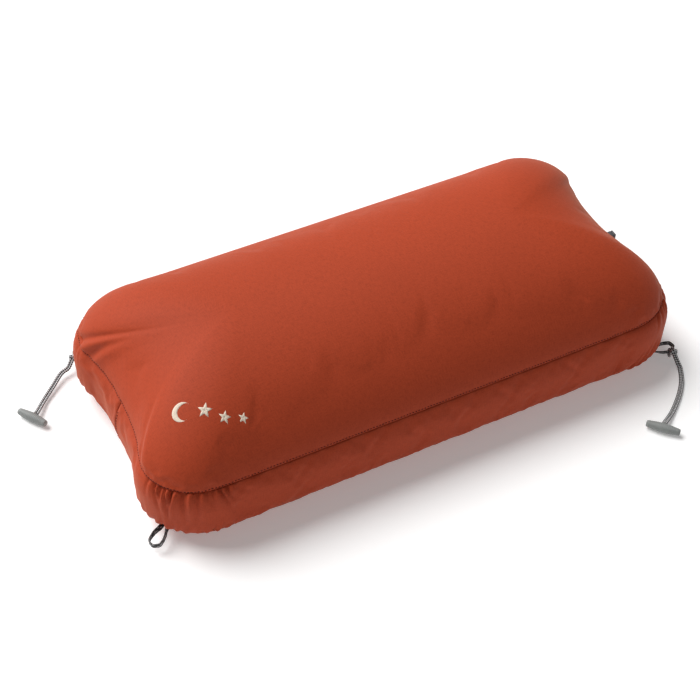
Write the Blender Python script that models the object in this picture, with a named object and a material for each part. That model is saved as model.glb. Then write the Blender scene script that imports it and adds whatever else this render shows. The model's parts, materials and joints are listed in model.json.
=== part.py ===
"""Inflatable camp pillow: a sewn, padded cover over an air bladder, tied down by two corner toggles.

Metres, +Z up. X runs along the pillow, Y across it, and the origin is the middle of the base.
"""

import math

import bmesh
import bpy
from mathutils import Matrix, Vector

# Gap kept between pieces that touch.
GAP = 0.0003

# The inflated loaf.
HALF_LENGTH = 0.190
HALF_WIDTH = 0.0945
CROWN_HEIGHT = 0.0925
CORNER_RADIUS = 0.041
END_PULL = 0.008  # how far the middle of each short end is drawn in
END_CURVE = 2.7  # above 2, most of the drawing-in lies near the middle of the end
TOP_SEAM_Z = 0.047
BOTTOM_SEAM_Z = 0.008
SEAM_INSET = 0.005  # both seams lie this far inside the band's widest line
BAND_MIDDLE_Z = 0.028

# Depth of each layer's outer and inner face below the outside of the cover.
COVER = (0.0, 0.0010)
WADDING = (0.0013, 0.0043)
LINING = (0.0046, 0.0051)
BLADDER = (0.0054, 0.0064)

# Where the crown's rings lie: 1 is the seam, 0 the ridge line.
CROWN_SHARES = (1.0, 0.94, 0.83, 0.66, 0.45, 0.2)
CROWN_FULLNESS = 1.6  # 2 would be half an ellipse

# Columns of the outline.
ARC_STEPS = 5
SIDE_STEPS = 6
JOIN_SHARE = 0.5  # the right-hand join between the two bands, as a share of the straight end

# How far the underside lies inside the widest line, and how high, from its seam to its flat.
BASE_OUTSIDE = ((0.0025, 0.010), (0.0, 0.020))
BASE_INSIDE = ((0.0035, 0.011), (0.001, 0.0205))
BLADDER_BASE_OUTSIDE = ((0.0040, 0.015), (0.0014, 0.024))
BLADDER_BASE_INSIDE = ((0.0050, 0.0156), (0.0024, 0.0245))
BAND_SHOULDER = 0.012  # height above and below the widest line where the band starts to draw in
BAND_SHOULDER_INSET = 0.0012

# Inner webs of the bladder.
WEB_OFFSET = 0.030
WEB_HALF_LENGTH = 0.095
WEB_THICKNESS = 0.0006

# Zip in the back band.
ZIP_HALF_LENGTH = 0.118
ZIP_WINDOW_HALF_HEIGHT = 0.004
TAPE_FACES_Y = (0.0916, 0.0922)
TAPE_HEIGHT = 0.0086
TAPE_EDGE = 0.0009
TEETH_FACES_Y = (0.0925, 0.0942)
TEETH_EDGE = 0.0006
TEETH_HEIGHT = 0.0014
TAPE_OVERLAP = 0.004  # the tapes run on past the window, and stand behind the cloth round it
WINDOW_MARGIN = 0.0045  # from the last tooth to the window's end
STOP_LENGTH = 0.0022
STOP_HALF_HEIGHT = 0.002
SLIDER_LENGTH = 0.008
SLIDER_HALF_HEIGHT = 0.0034
SLIDER_BACK_Y = (0.0900, 0.0912)  # back plate of the slider, behind the tapes
SLIDER_FRONT_Y = (0.0949, 0.0958)  # front plate, before the teeth
SLIDER_LIP_Y = 0.0930
SLIDER_LIP_HEIGHT = 0.0008
ARCH_HALF_LENGTH = 0.0022
ARCH_Y = (0.0954, 0.0979)
ARCH_HALF_HEIGHT = 0.0007
ARCH_TUNNEL_HALF_LENGTH = 0.0013
ARCH_TUNNEL_Y = (0.0960, 0.0972)
SLIDER_REST_X = 0.1135
PULL_LENGTH = 0.024
PULL_HALF_HEIGHT = 0.003
PULL_HALF_THICKNESS = 0.0004
PULL_WINDOW_LENGTH = 0.0055
PULL_WINDOW_HALF_HEIGHT = 0.0012
CUT_REACH = 0.002  # how far a cutter runs on past a thin piece
PULL_AXIS_Y = 0.0966

# Valve in the right-hand end.
VALVE_WALL_X = HALF_LENGTH - END_PULL
VALVE_BORE = 0.0056
VALVE_TUBE_RADIUS = 0.0080
VALVE_STEPS = 28
FABRIC_HOLE_RADIUS = 0.0086
VALVE_FLANGE_X = (-0.0046, -0.0034)  # from here on, X is counted from the end wall
VALVE_FLANGE_RADIUS = 0.0105
VALVE_MOUTH_X = 0.0060
SEAT_X = (-0.0035, -0.0023)
SEAT_HOLES = 6
SEAT_HOLE_CIRCLE = 0.0031
SEAT_HOLE_RADIUS = 0.0010
STEM_HOLE_RADIUS = 0.0009
FLAP_RADIUS = 0.0047
FLAP_STEM_RADIUS = 0.0006
FLAP_BARB_RADIUS = 0.0013
CAP_FACE_X = (0.0063, 0.0080)
CAP_RADIUS = 0.0090
CAP_RIM_DEPTH = 0.0013
CAP_EDGE = 0.0006
CAP_TAB_FRONT_X = 0.0078
CAP_PLUG_X = 0.0028
CAP_PLUG_RADII = (0.0042, 0.0050)
STRAP_X = (0.0012, 0.0028)
STRAP_RADII = (0.0083, 0.0098)
STRAP_HALF_WIDTH = 0.0025
STRAP_UPRIGHT_FOOT = 0.0092  # from here on, heights over the valve's axis
STRAP_ARM_UNDERSIDE = 0.0118
STRAP_TOP = 0.0132
CAP_HINGE = Vector((VALVE_WALL_X + 0.00615, 0, BAND_MIDDLE_Z + 0.0135))

# Corner loops of narrow tape: (where round the corner, which way it points), in degrees.
LOOPS = {
    "front_left": (211, 221),
    "front_right": (311, 344),
    "back_left": (126, 147),
    "back_right": (31, 41),
}
LOOP_LENGTH = 0.0150
LOOP_WIDTH = 0.0095
LOOP_Z = 0.0065
TAPE_WIDTH = 0.0034
TAPE_THICKNESS = 0.0010

# Elastic cords, doubled, and their toggles.
CORD_DIAMETER = 0.0016
STRAND_OFFSET = 0.00095
WRAP_RADIUS = 0.0031  # half the height of the cord's turn round the tape
ROUTE_STEPS = 18
TURN_STEPS = 8
TOGGLE_HALF_LENGTH = 0.0113
TOGGLE_RADIUS = 0.0032
TOGGLE_END_RADIUS = 0.0021
TOGGLE_STANDOFF = 0.0045  # from the turning point on the cord to the toggle's long axis
TOGGLE_END_FROM = 0.88  # where the rounding of each end starts, as a share of the half length
TOGGLE_STEPS = 16
SLOT_HALF_WIDTH = 0.00115
SLOT_HALF_HEIGHT = 0.00205
SLOT_HALF_LENGTH = 0.004
RECESS_RADIUS = 0.0021
RECESS_CENTRE = 0.0027
KNOT_RADIUS = 0.00175
KNOT_CENTRE = 0.0022
STRAND_INSIDE_LENGTH = 0.006
STRAND_INSIDE_CENTRE = -0.0005
CORD_END = 0.00035  # from the turning point back to the end of the cord
LOOP_BEND_STEPS = 12

# Each tether: the loop it is hitched to, the way it leaves the loop, its route from there to the
# turning point at the toggle, and the way the toggle's cord hole points, in degrees.
TETHERS = {
    "left": {
        "loop": "back_left",
        "leaves": 215,
        "route": [
            (-0.1897, 0.0833, 0.0034),
            (-0.1960, 0.0793, 0.0016),
            (-0.2040, 0.0722, 0.0012),
            (-0.2135, 0.0632, 0.0014),
        ],
        "toggle_turn": (-0.22140, 0.05380),
        "toggle_points": 213.5,
    },
    "right": {
        "loop": "front_right",
        "leaves": 267,
        "route": [
            (0.1838, -0.0948, 0.0034),
            (0.1826, -0.1010, 0.0016),
            (0.1775, -0.1100, 0.0012),
            (0.1705, -0.1180, 0.0012),
            (0.1625, -0.1251, 0.0012),
            (0.1540, -0.1315, 0.0014),
        ],
        "toggle_turn": (0.14465, -0.13715),
        "toggle_points": 222,
    },
}

COLOURS = {
    "cover_fabric": ((0.40, 0.075, 0.035, 1), 0.55),
    "wadding": ((0.85, 0.84, 0.80, 1), 0.95),
    "lining_fabric": ((0.33, 0.07, 0.04, 1), 0.7),
    "bladder_film": ((0.45, 0.47, 0.50, 1), 0.4),
    "valve_plastic": ((0.09, 0.09, 0.10, 1), 0.45),
    "valve_rubber": ((0.55, 0.56, 0.57, 1), 0.6),
    "zip_tape": ((0.30, 0.05, 0.025, 1), 0.8),
    "zip_plastic": ((0.22, 0.04, 0.02, 1), 0.45),
    "zip_metal": ((0.12, 0.12, 0.12, 1), 0.4),
    "loop_tape": ((0.035, 0.032, 0.032, 1), 0.8),
    "cord": ((0.22, 0.22, 0.22, 1), 0.8),
    "toggle_plastic": ((0.26, 0.27, 0.26, 1), 0.5),
}


def clear_scene():
    for item in list(bpy.data.objects):
        bpy.data.objects.remove(item, do_unlink=True)


def material(name):
    """The material of that name, made on its first use."""
    found = bpy.data.materials.get(name)
    if found:
        return found
    colour, roughness = COLOURS[name]
    made = bpy.data.materials.new(name)
    made.use_nodes = True
    shader = made.node_tree.nodes["Principled BSDF"]
    shader.inputs["Base Color"].default_value = colour
    shader.inputs["Roughness"].default_value = roughness
    shader.inputs["Metallic"].default_value = 0.9 if name == "zip_metal" else 0.0
    made.diffuse_color = colour
    return made


def link(name, data, material_name, origin=(0, 0, 0)):
    """An object with its origin at that point. The data arrives in world coordinates."""
    data.transform(Matrix.Translation(-Vector(origin)))
    item = bpy.data.objects.new(name, data)
    item.location = origin
    data.materials.append(material(material_name))
    bpy.context.scene.collection.objects.link(item)
    return item


def from_bmesh(name, bm, material_name, origin=(0, 0, 0)):
    bm.normal_update()
    bmesh.ops.recalc_face_normals(bm, faces=bm.faces)
    mesh = bpy.data.meshes.new(name)
    bm.to_mesh(mesh)
    bm.free()
    return link(name, mesh, material_name, origin)


def as_cutter(item):
    item.hide_render = True
    item.display_type = "WIRE"
    return item


def boolean(item, other, operation="DIFFERENCE"):
    modifier = item.modifiers.new(other.name, "BOOLEAN")
    modifier.operation = operation
    modifier.solver = "EXACT"
    modifier.object = as_cutter(other)
    return item


def add_box(bm, low, high):
    low, high = Vector(low), Vector(high)
    size = high - low
    place = Matrix.Translation((low + high) / 2) @ Matrix.Diagonal((*size, 1))
    bmesh.ops.create_cube(bm, size=1, matrix=place)


def box(name, low, high, material_name, origin=(0, 0, 0)):
    bm = bmesh.new()
    add_box(bm, low, high)
    return from_bmesh(name, bm, material_name, origin)


def turned(name, profile, centre, material_name, steps=24, closed=True, origin=None):
    """A body turned about the X line through centre. The profile is (x from centre, radius)."""
    bm = bmesh.new()
    centre = Vector(centre)
    points = [bm.verts.new(centre + Vector((x, 0, radius))) for x, radius in profile]
    pairs = list(zip(points, points[1:]))
    if closed:
        pairs.append((points[-1], points[0]))
    edges = [bm.edges.new(pair) for pair in pairs]
    bmesh.ops.spin(
        bm, geom=points + edges, cent=centre, axis=(1, 0, 0), angle=math.tau, steps=steps, use_merge=True
    )
    bmesh.ops.remove_doubles(bm, verts=bm.verts, dist=1e-6)
    item = from_bmesh(name, bm, material_name, centre if origin is None else origin)
    item.data.shade_smooth()
    item.data.set_sharp_from_angle(angle=math.radians(35))
    return item


# ---- the loaf ----


def arc(centre_x, centre_y, radius, first_degrees):
    """Points of a quarter turn, starting at that angle."""
    turns = [math.radians(first_degrees + 90 * step / ARC_STEPS) for step in range(ARC_STEPS + 1)]
    return [(centre_x + radius * math.cos(t), centre_y + radius * math.sin(t)) for t in turns]


def outline(half_length, half_width, radius, pull):
    """The plan outline, anticlockwise from the middle of the left end: straight sides, round corners,
    and short ends drawn in between their corners."""
    cx = half_length - radius
    cy = half_width - radius

    def end(side, shares):
        return [(side * (half_length - pull * (1 - abs(share) ** END_CURVE)), share * cy) for share in shares]

    def long_side(y, from_x):
        return [(from_x * (1 - 2 * step / SIDE_STEPS), y) for step in range(1, SIDE_STEPS)]

    points = end(-1, (0, -0.5))
    points += arc(-cx, -cy, radius, 180)
    points += long_side(-half_width, -cx)
    points += arc(cx, -cy, radius, 270)
    points += end(1, (-0.5, 0, JOIN_SHARE))
    points += arc(cx, cy, radius, 0)
    points += long_side(half_width, cx)
    points += arc(-cx, cy, radius, 90)
    points += end(-1, (0.5,))
    return points


def join_column():
    """Index of the column at the right-hand join between the two bands."""
    return 2 + 2 * (ARC_STEPS + 1) + (SIDE_STEPS - 1) + 2


def side_ring(z, inset):
    """The outline at height z, drawn in by inset."""
    plan = outline(HALF_LENGTH - inset, HALF_WIDTH - inset, CORNER_RADIUS - inset, END_PULL)
    return [Vector((x, y, z)) for x, y in plan]


def crown_rise(share):
    """Height above the seam as a share of the crown's, over the loaf's rounded section."""
    return (1 - share**2) ** (1 / CROWN_FULLNESS)


def crown_ring(share, depth):
    """One ring of the crown, depth below the outside of the cover."""
    reach = (HALF_WIDTH - SEAM_INSET) * share
    radius = CORNER_RADIUS * share**0.8 - SEAM_INSET * share - depth
    plan = outline(HALF_LENGTH - HALF_WIDTH + reach - depth, reach - depth, radius, END_PULL * share)
    z = TOP_SEAM_Z + (CROWN_HEIGHT - TOP_SEAM_Z - depth) * crown_rise(share)
    return [Vector((x, y, z)) for x, y in plan]


def crown_rings(depth):
    return [crown_ring(share, depth) for share in CROWN_SHARES]


def band_rings(depth, low_z, high_z):
    """The standing side between the seams: bulged in the middle, drawn in at both seams."""
    levels = (
        (low_z, SEAM_INSET),
        (BAND_MIDDLE_Z - BAND_SHOULDER, BAND_SHOULDER_INSET),
        (BAND_MIDDLE_Z, 0.0),
        (BAND_MIDDLE_Z + BAND_SHOULDER, BAND_SHOULDER_INSET),
        (high_z, SEAM_INSET),
    )
    return [side_ring(z, inset + depth) for z, inset in levels]


def base_rings(levels):
    return [side_ring(z, inset) for z, inset in levels]


def ceiling_height(y, depth):
    """Height of the crown's layer over the straight middle of the pillow, at distance y from its centre line."""
    for outer, inner in zip(CROWN_SHARES, CROWN_SHARES[1:]):
        ring_a = crown_ring(outer, depth)
        ring_b = crown_ring(inner, depth)
        reach_a = max(point.y for point in ring_a)
        reach_b = max(point.y for point in ring_b)
        if reach_b <= y <= reach_a:
            part = (y - reach_a) / (reach_b - reach_a)
            return ring_a[0].z + part * (ring_b[0].z - ring_a[0].z)
    return ring_b[0].z


def sheet_solid(name, outer, inner, material_name, capped, closed=True):
    """A thin closed body between two sets of rings. capped closes the last ring with a flat face.

    Both sides are split along the same diagonals, so that nested sheets stay clear of each other."""
    bm = bmesh.new()
    grids = [[[bm.verts.new(point) for point in ring] for ring in rings] for rings in (outer, inner)]
    count = len(outer[0])
    columns = [(c, (c + 1) % count) for c in range(count if closed else count - 1)]
    for grid in grids:
        for low, high in zip(grid, grid[1:]):
            for a, b in columns:
                bm.faces.new((low[a], low[b], high[b]))
                bm.faces.new((low[a], high[b], high[a]))
    rims = [(grids[0][0], grids[1][0])]
    if capped:
        bm.faces.new(grids[0][-1])
        bm.faces.new(grids[1][-1])
    else:
        rims.append((grids[0][-1], grids[1][-1]))
    for outside, inside in rims:
        for a, b in columns:
            bm.faces.new((outside[a], outside[b], inside[b], inside[a]))
    if not closed:
        for column in (0, count - 1):
            for row in range(len(outer) - 1):
                out_a, out_b = grids[0][row][column], grids[0][row + 1][column]
                in_a, in_b = grids[1][row][column], grids[1][row + 1][column]
                bm.faces.new((out_a, out_b, in_b, in_a))
    return from_bmesh(name, bm, material_name)


def crown_sheet(name, faces, material_name):
    outer, inner = (crown_rings(depth) for depth in faces)
    return sheet_solid(name, outer, inner, material_name, capped=True)


def part_of_ring(ring, first, last):
    """Columns first to last of a ring, its ends pulled back by half a gap so that neighbours clear."""
    count = len(ring)
    points = [ring[c % count].copy() for c in range(first, last + 1)]
    points[0] += (points[1] - points[0]).normalized() * GAP / 2
    points[-1] += (points[-2] - points[-1]).normalized() * GAP / 2
    return points


def band(name, first, last):
    rings = [band_rings(depth, BOTTOM_SEAM_Z, TOP_SEAM_Z - GAP) for depth in COVER]
    outer, inner = ([part_of_ring(ring, first, last) for ring in side] for side in rings)
    return sheet_solid(name, outer, inner, "cover_fabric", capped=False, closed=False)


def make_cover():
    crown_sheet("cover_top_panel", COVER, "cover_fabric")
    seam_z = BOTTOM_SEAM_Z - GAP
    outer = base_rings(((seam_z, SEAM_INSET), *BASE_OUTSIDE))
    inner = base_rings(((seam_z, SEAM_INSET + COVER[1]), *BASE_INSIDE))
    sheet_solid("cover_bottom_panel", outer, inner, "cover_fabric", capped=True)
    count = len(side_ring(0, 0))
    front = band("side_band_front", 0, join_column())
    back = band("side_band_back", join_column(), count)
    return front, back


def make_filling():
    crown_sheet("wadding_sheet", WADDING, "wadding")
    crown_sheet("wadding_lining", LINING, "lining_fabric")
    crown_sheet("bladder_top_sheet", BLADDER, "bladder_film")
    rings = [band_rings(depth, BOTTOM_SEAM_Z, TOP_SEAM_Z - GAP) for depth in BLADDER]
    wall = sheet_solid("bladder_side_wall", *rings, "bladder_film", capped=False)
    seam_z = BOTTOM_SEAM_Z - GAP
    edge = SEAM_INSET + BLADDER[0]
    outer = base_rings(((seam_z, edge), *BLADDER_BASE_OUTSIDE))
    inner = base_rings(((seam_z, SEAM_INSET + BLADDER[1]), *BLADDER_BASE_INSIDE))
    sheet_solid("bladder_bottom_sheet", outer, inner, "bladder_film", capped=True)
    floor_z = BLADDER_BASE_INSIDE[-1][0] + GAP
    for name, side in (("bladder_web_front", -1), ("bladder_web_back", 1)):
        near, far = sorted((side * (WEB_OFFSET - WEB_THICKNESS), side * WEB_OFFSET))
        top_z = ceiling_height(WEB_OFFSET, BLADDER[1]) - GAP
        box(name, (-WEB_HALF_LENGTH, near, floor_z), (WEB_HALF_LENGTH, far, top_z), "bladder_film")
    return wall


# ---- the zip ----


def make_zip(back_band):
    z = BAND_MIDDLE_Z
    reach = ZIP_HALF_LENGTH + WINDOW_MARGIN
    window = box(
        "zip_window_cutter",
        (-reach, HALF_WIDTH - 2 * CUT_REACH, z - ZIP_WINDOW_HALF_HEIGHT),
        (reach, HALF_WIDTH + 2 * CUT_REACH, z + ZIP_WINDOW_HALF_HEIGHT),
        "cover_fabric",
    )
    boolean(back_band, window)
    tape_reach = reach + TAPE_OVERLAP
    for name, side in (("upper", 1), ("lower", -1)):
        low, high = sorted((z + side * TAPE_EDGE, z + side * (TAPE_EDGE + TAPE_HEIGHT)))
        near, far = TAPE_FACES_Y
        box("zip_tape_" + name, (-tape_reach, near, low), (tape_reach, far, high), "zip_tape")
        low, high = sorted((z + side * TEETH_EDGE, z + side * (TEETH_EDGE + TEETH_HEIGHT)))
        near, far = TEETH_FACES_Y
        box("zip_teeth_" + name, (-ZIP_HALF_LENGTH, near, low), (ZIP_HALF_LENGTH, far, high), "zip_plastic")
    for name, side in (("zip_top_stop", 1), ("zip_bottom_stop", -1)):
        start = ZIP_HALF_LENGTH + GAP
        low, high = sorted((side * start, side * (start + STOP_LENGTH)))
        near, far = TEETH_FACES_Y
        box(name, (low, near, z - STOP_HALF_HEIGHT), (high, far, z + STOP_HALF_HEIGHT), "zip_metal")


def make_slider():
    """An I section that runs on both rows of teeth, with the little arch that holds the pull."""
    half, neck = SLIDER_HALF_HEIGHT, TEETH_EDGE / 2
    inner_back, inner_front = SLIDER_BACK_Y
    outer_back, outer_front = SLIDER_FRONT_Y
    lip_z = -half + SLIDER_LIP_HEIGHT
    section = [
        (inner_back, -half),
        (inner_front, -half),
        (inner_front, -neck),
        (outer_back, -neck),
        (outer_back, lip_z),
        (SLIDER_LIP_Y, lip_z),
        (SLIDER_LIP_Y, -half),
        (outer_front, -half),
    ]
    section += [(y, -z) for y, z in reversed(section)]
    bm = bmesh.new()
    start = SLIDER_REST_X - SLIDER_LENGTH / 2
    face = bm.faces.new([bm.verts.new((start, y, BAND_MIDDLE_Z + z)) for y, z in section])
    grown = bmesh.ops.extrude_face_region(bm, geom=[face])
    moved = [item for item in grown["geom"] if isinstance(item, bmesh.types.BMVert)]
    bmesh.ops.translate(bm, verts=moved, vec=(SLIDER_LENGTH, 0, 0))
    origin = (SLIDER_REST_X, PULL_AXIS_Y, BAND_MIDDLE_Z)
    slider = from_bmesh("zip_slider", bm, "zip_metal", origin)
    x, z = SLIDER_REST_X, BAND_MIDDLE_Z
    near, far = ARCH_Y
    arch = box(
        "slider_arch",
        (x - ARCH_HALF_LENGTH, near, z - ARCH_HALF_HEIGHT),
        (x + ARCH_HALF_LENGTH, far, z + ARCH_HALF_HEIGHT),
        "zip_metal",
    )
    near, far = ARCH_TUNNEL_Y
    tunnel = box(
        "slider_tunnel",
        (x - ARCH_TUNNEL_HALF_LENGTH, near, z - CUT_REACH),
        (x + ARCH_TUNNEL_HALF_LENGTH, far, z + CUT_REACH),
        "zip_metal",
    )
    boolean(slider, arch, "UNION")
    boolean(slider, tunnel)


def make_pull():
    """A flat tab whose end bar lies in the slider's arch."""
    x, y, z = SLIDER_REST_X, PULL_AXIS_Y, BAND_MIDDLE_Z
    thick, tall = PULL_HALF_THICKNESS, PULL_HALF_HEIGHT
    pull = box(
        "zip_pull",
        (x - PULL_LENGTH, y - thick, z - tall),
        (x + thick, y + thick, z + tall),
        "zip_metal",
        (x, y, z),
    )
    window = box(
        "pull_window",
        (x - PULL_WINDOW_LENGTH, y - CUT_REACH, z - PULL_WINDOW_HALF_HEIGHT),
        (x - thick, y + CUT_REACH, z + PULL_WINDOW_HALF_HEIGHT),
        "zip_metal",
    )
    boolean(pull, window)


# ---- the valve ----


def round_cutter(name, wall, start, stop, radius):
    """A solid rod along X, from start to stop counted from the end wall."""
    profile = [(start, 0), (start, radius), (stop, radius), (stop, 0)]
    return turned(name, profile, wall, "valve_plastic", closed=False)


def make_valve(front_band, bladder_wall):
    wall = Vector((VALVE_WALL_X, 0, BAND_MIDDLE_Z))
    boolean(front_band, round_cutter("fabric_hole_cutter", wall, -0.003, 0.003, FABRIC_HOLE_RADIUS))
    boolean(bladder_wall, round_cutter("film_hole_cutter", wall, -0.009, -0.002, VALVE_BORE))
    back, front = VALVE_FLANGE_X
    base_profile = [
        (back, VALVE_BORE),
        (back, VALVE_FLANGE_RADIUS),
        (front, VALVE_FLANGE_RADIUS),
        (front, VALVE_TUBE_RADIUS),
        (VALVE_MOUTH_X, VALVE_TUBE_RADIUS),
        (VALVE_MOUTH_X, VALVE_BORE),
    ]
    turned("valve_base", base_profile, wall, "valve_plastic", steps=VALVE_STEPS)
    make_valve_inside(wall)
    make_valve_cap(wall)


def make_valve_inside(wall):
    """The seat with its air holes, and the flap that a breath pushes off it."""
    back, front = SEAT_X
    seat_profile = [(back, 0), (back, VALVE_BORE - GAP), (front, VALVE_BORE - GAP), (front, 0)]
    seat = turned("valve_seat", seat_profile, wall, "valve_plastic", closed=False)
    bm = bmesh.new()
    turn = Matrix.Rotation(math.radians(90), 4, "Y")
    holes = [(0, 0, STEM_HOLE_RADIUS)]
    for step in range(SEAT_HOLES):
        angle = math.tau * step / SEAT_HOLES
        y, z = SEAT_HOLE_CIRCLE * math.cos(angle), SEAT_HOLE_CIRCLE * math.sin(angle)
        holes.append((y, z, SEAT_HOLE_RADIUS))
    for y, z, radius in holes:
        place = Matrix.Translation(wall + Vector(((back + front) / 2, y, z))) @ turn
        bmesh.ops.create_cone(
            bm, cap_ends=True, segments=12, radius1=radius, radius2=radius, depth=2 * CUT_REACH, matrix=place
        )
    boolean(seat, from_bmesh("seat_holes_cutter", bm, "valve_plastic"))
    disc_back, disc_front = back - 0.0010, back - 0.0004
    barb_x, tip_x = front + 0.0014, front + 0.0021
    flap_profile = [
        (disc_back, 0),
        (disc_back, FLAP_RADIUS),
        (disc_front, FLAP_RADIUS),
        (disc_front + 0.0001, FLAP_STEM_RADIUS),
        (barb_x, FLAP_STEM_RADIUS),
        (barb_x, FLAP_BARB_RADIUS),
        (tip_x, FLAP_BARB_RADIUS - GAP),
        (tip_x, 0),
    ]
    turned("valve_flap", flap_profile, wall, "valve_rubber", steps=20, closed=False)


def make_valve_cap(wall):
    """A plug cap that swings up on a strap from a ring round the valve's neck."""
    face, outside = CAP_FACE_X
    face_front = face + CAP_RIM_DEPTH
    plug_inner, plug_outer = CAP_PLUG_RADII
    cap_profile = [
        (face, 0),
        (face, plug_inner),
        (CAP_PLUG_X, plug_inner),
        (CAP_PLUG_X, plug_outer),
        (face, plug_outer),
        (face, CAP_RADIUS),
        (face_front, CAP_RADIUS),
        (outside, CAP_RADIUS - CAP_EDGE),
        (outside, 0),
    ]
    cap = turned(
        "valve_cap", cap_profile, wall, "valve_plastic", steps=VALVE_STEPS, closed=False, origin=CAP_HINGE
    )
    half = STRAP_HALF_WIDTH
    tab = box(
        "cap_tab",
        wall + Vector((face, -half, VALVE_TUBE_RADIUS)),
        wall + Vector((CAP_TAB_FRONT_X, half, STRAP_TOP)),
        "valve_plastic",
    )
    boolean(cap, tab, "UNION")
    back, front = STRAP_X
    inner, outer = STRAP_RADII
    ring_profile = [(back, inner), (back, outer), (front, outer), (front, inner)]
    strap = turned("valve_cap_strap", ring_profile, wall, "valve_plastic", steps=VALVE_STEPS)
    upright = box(
        "strap_upright",
        wall + Vector((back, -half, STRAP_UPRIGHT_FOOT)),
        wall + Vector((front, half, STRAP_TOP)),
        "valve_plastic",
    )
    arm = box(
        "strap_arm",
        wall + Vector(((back + front) / 2, -half, STRAP_ARM_UNDERSIDE)),
        wall + Vector((VALVE_MOUTH_X, half, STRAP_TOP)),
        "valve_plastic",
    )
    boolean(strap, upright, "UNION")
    boolean(strap, arm, "UNION")


# ---- corner loops ----


def heading(degrees):
    return Vector((math.cos(math.radians(degrees)), math.sin(math.radians(degrees)), 0))


def corner_centre(degrees):
    side_x = math.copysign(HALF_LENGTH - CORNER_RADIUS, math.cos(math.radians(degrees)))
    side_y = math.copysign(HALF_WIDTH - CORNER_RADIUS, math.sin(math.radians(degrees)))
    return Vector((side_x, side_y, 0))


def loop_frame(name):
    """Corner centre, root on the seam, pointing direction and sideways direction of a loop."""
    around, points = LOOPS[name]
    centre = corner_centre(around)
    root = centre + heading(around) * (CORNER_RADIUS - SEAM_INSET + 0.001)
    return centre, root, heading(points), heading(points - 90)


def loop_bend_centre(name):
    _, root, ahead, _ = loop_frame(name)
    return root + ahead * (LOOP_LENGTH - LOOP_WIDTH / 2)


def leg_start(name, offset):
    """Where a leg of the loop, that far to one side, meets the line just outside the seam."""
    centre, root, ahead, across = loop_frame(name)
    from_centre = root + across * offset - centre
    along = from_centre.dot(ahead)
    reach = CORNER_RADIUS - SEAM_INSET + 2 * GAP
    back = -along + math.sqrt(along**2 - from_centre.length_squared + reach**2)
    return root + across * offset + ahead * back


def loop_line(name, offset):
    """One edge of the tape in plan, offset from the middle of the loop: a leg, the bend, a leg."""
    _, _, ahead, across = loop_frame(name)
    bend = loop_bend_centre(name)
    turns = [math.radians(90 - 180 * step / LOOP_BEND_STEPS) for step in range(LOOP_BEND_STEPS + 1)]
    curve = [bend + across * math.sin(t) * offset + ahead * math.cos(t) * offset for t in turns]
    return [leg_start(name, offset)] + curve + [leg_start(name, -offset)]


def make_loop(name):
    """Flat tape standing on edge, bent into a narrow U whose ends are sewn into the bottom seam."""
    bm = bmesh.new()
    half = TAPE_WIDTH / 2
    outer = loop_line(name, LOOP_WIDTH / 2)
    inner = loop_line(name, LOOP_WIDTH / 2 - TAPE_THICKNESS)
    sections = []
    for out, inn in zip(outer, inner):
        corners = [(out, -half), (out, half), (inn, half), (inn, -half)]
        sections.append([bm.verts.new(point + Vector((0, 0, LOOP_Z + dz))) for point, dz in corners])
    for first, second in zip(sections, sections[1:]):
        for k in range(4):
            after = (k + 1) % 4
            bm.faces.new((first[k], first[after], second[after], second[k]))
    bm.faces.new(sections[0])
    bm.faces.new(sections[-1])
    from_bmesh("loop_" + name, bm, "loop_tape")


# ---- cords and toggles ----


def smooth_point(points, position):
    """A point of the Catmull-Rom curve through the points, position counted in points."""
    last = len(points) - 1
    index = min(int(position), last - 1)
    t = position - index
    p0, p1, p2, p3 = (points[min(max(index + k, 0), last)] for k in (-1, 0, 1, 2))
    return (
        2 * p1 + (p2 - p0) * t + (2 * p0 - 5 * p1 + 4 * p2 - p3) * t**2 + (3 * p1 - p0 - 3 * p2 + p3) * t**3
    ) / 2


def ease(value, low, high):
    """0 below low, 1 above high, and a smooth step between."""
    share = min(max((value - low) / (high - low), 0), 1)
    return share * share * (3 - 2 * share)


def wrap_point(tether):
    """Where the cord goes round the tape, at the tape's middle."""
    away = heading(tether["leaves"])
    return loop_bend_centre(tether["loop"]) + away * (LOOP_WIDTH - TAPE_THICKNESS) / 2 + Vector((0, 0, LOOP_Z))


def turning_point(tether):
    return Vector((*tether["toggle_turn"], TOGGLE_RADIUS))


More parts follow.
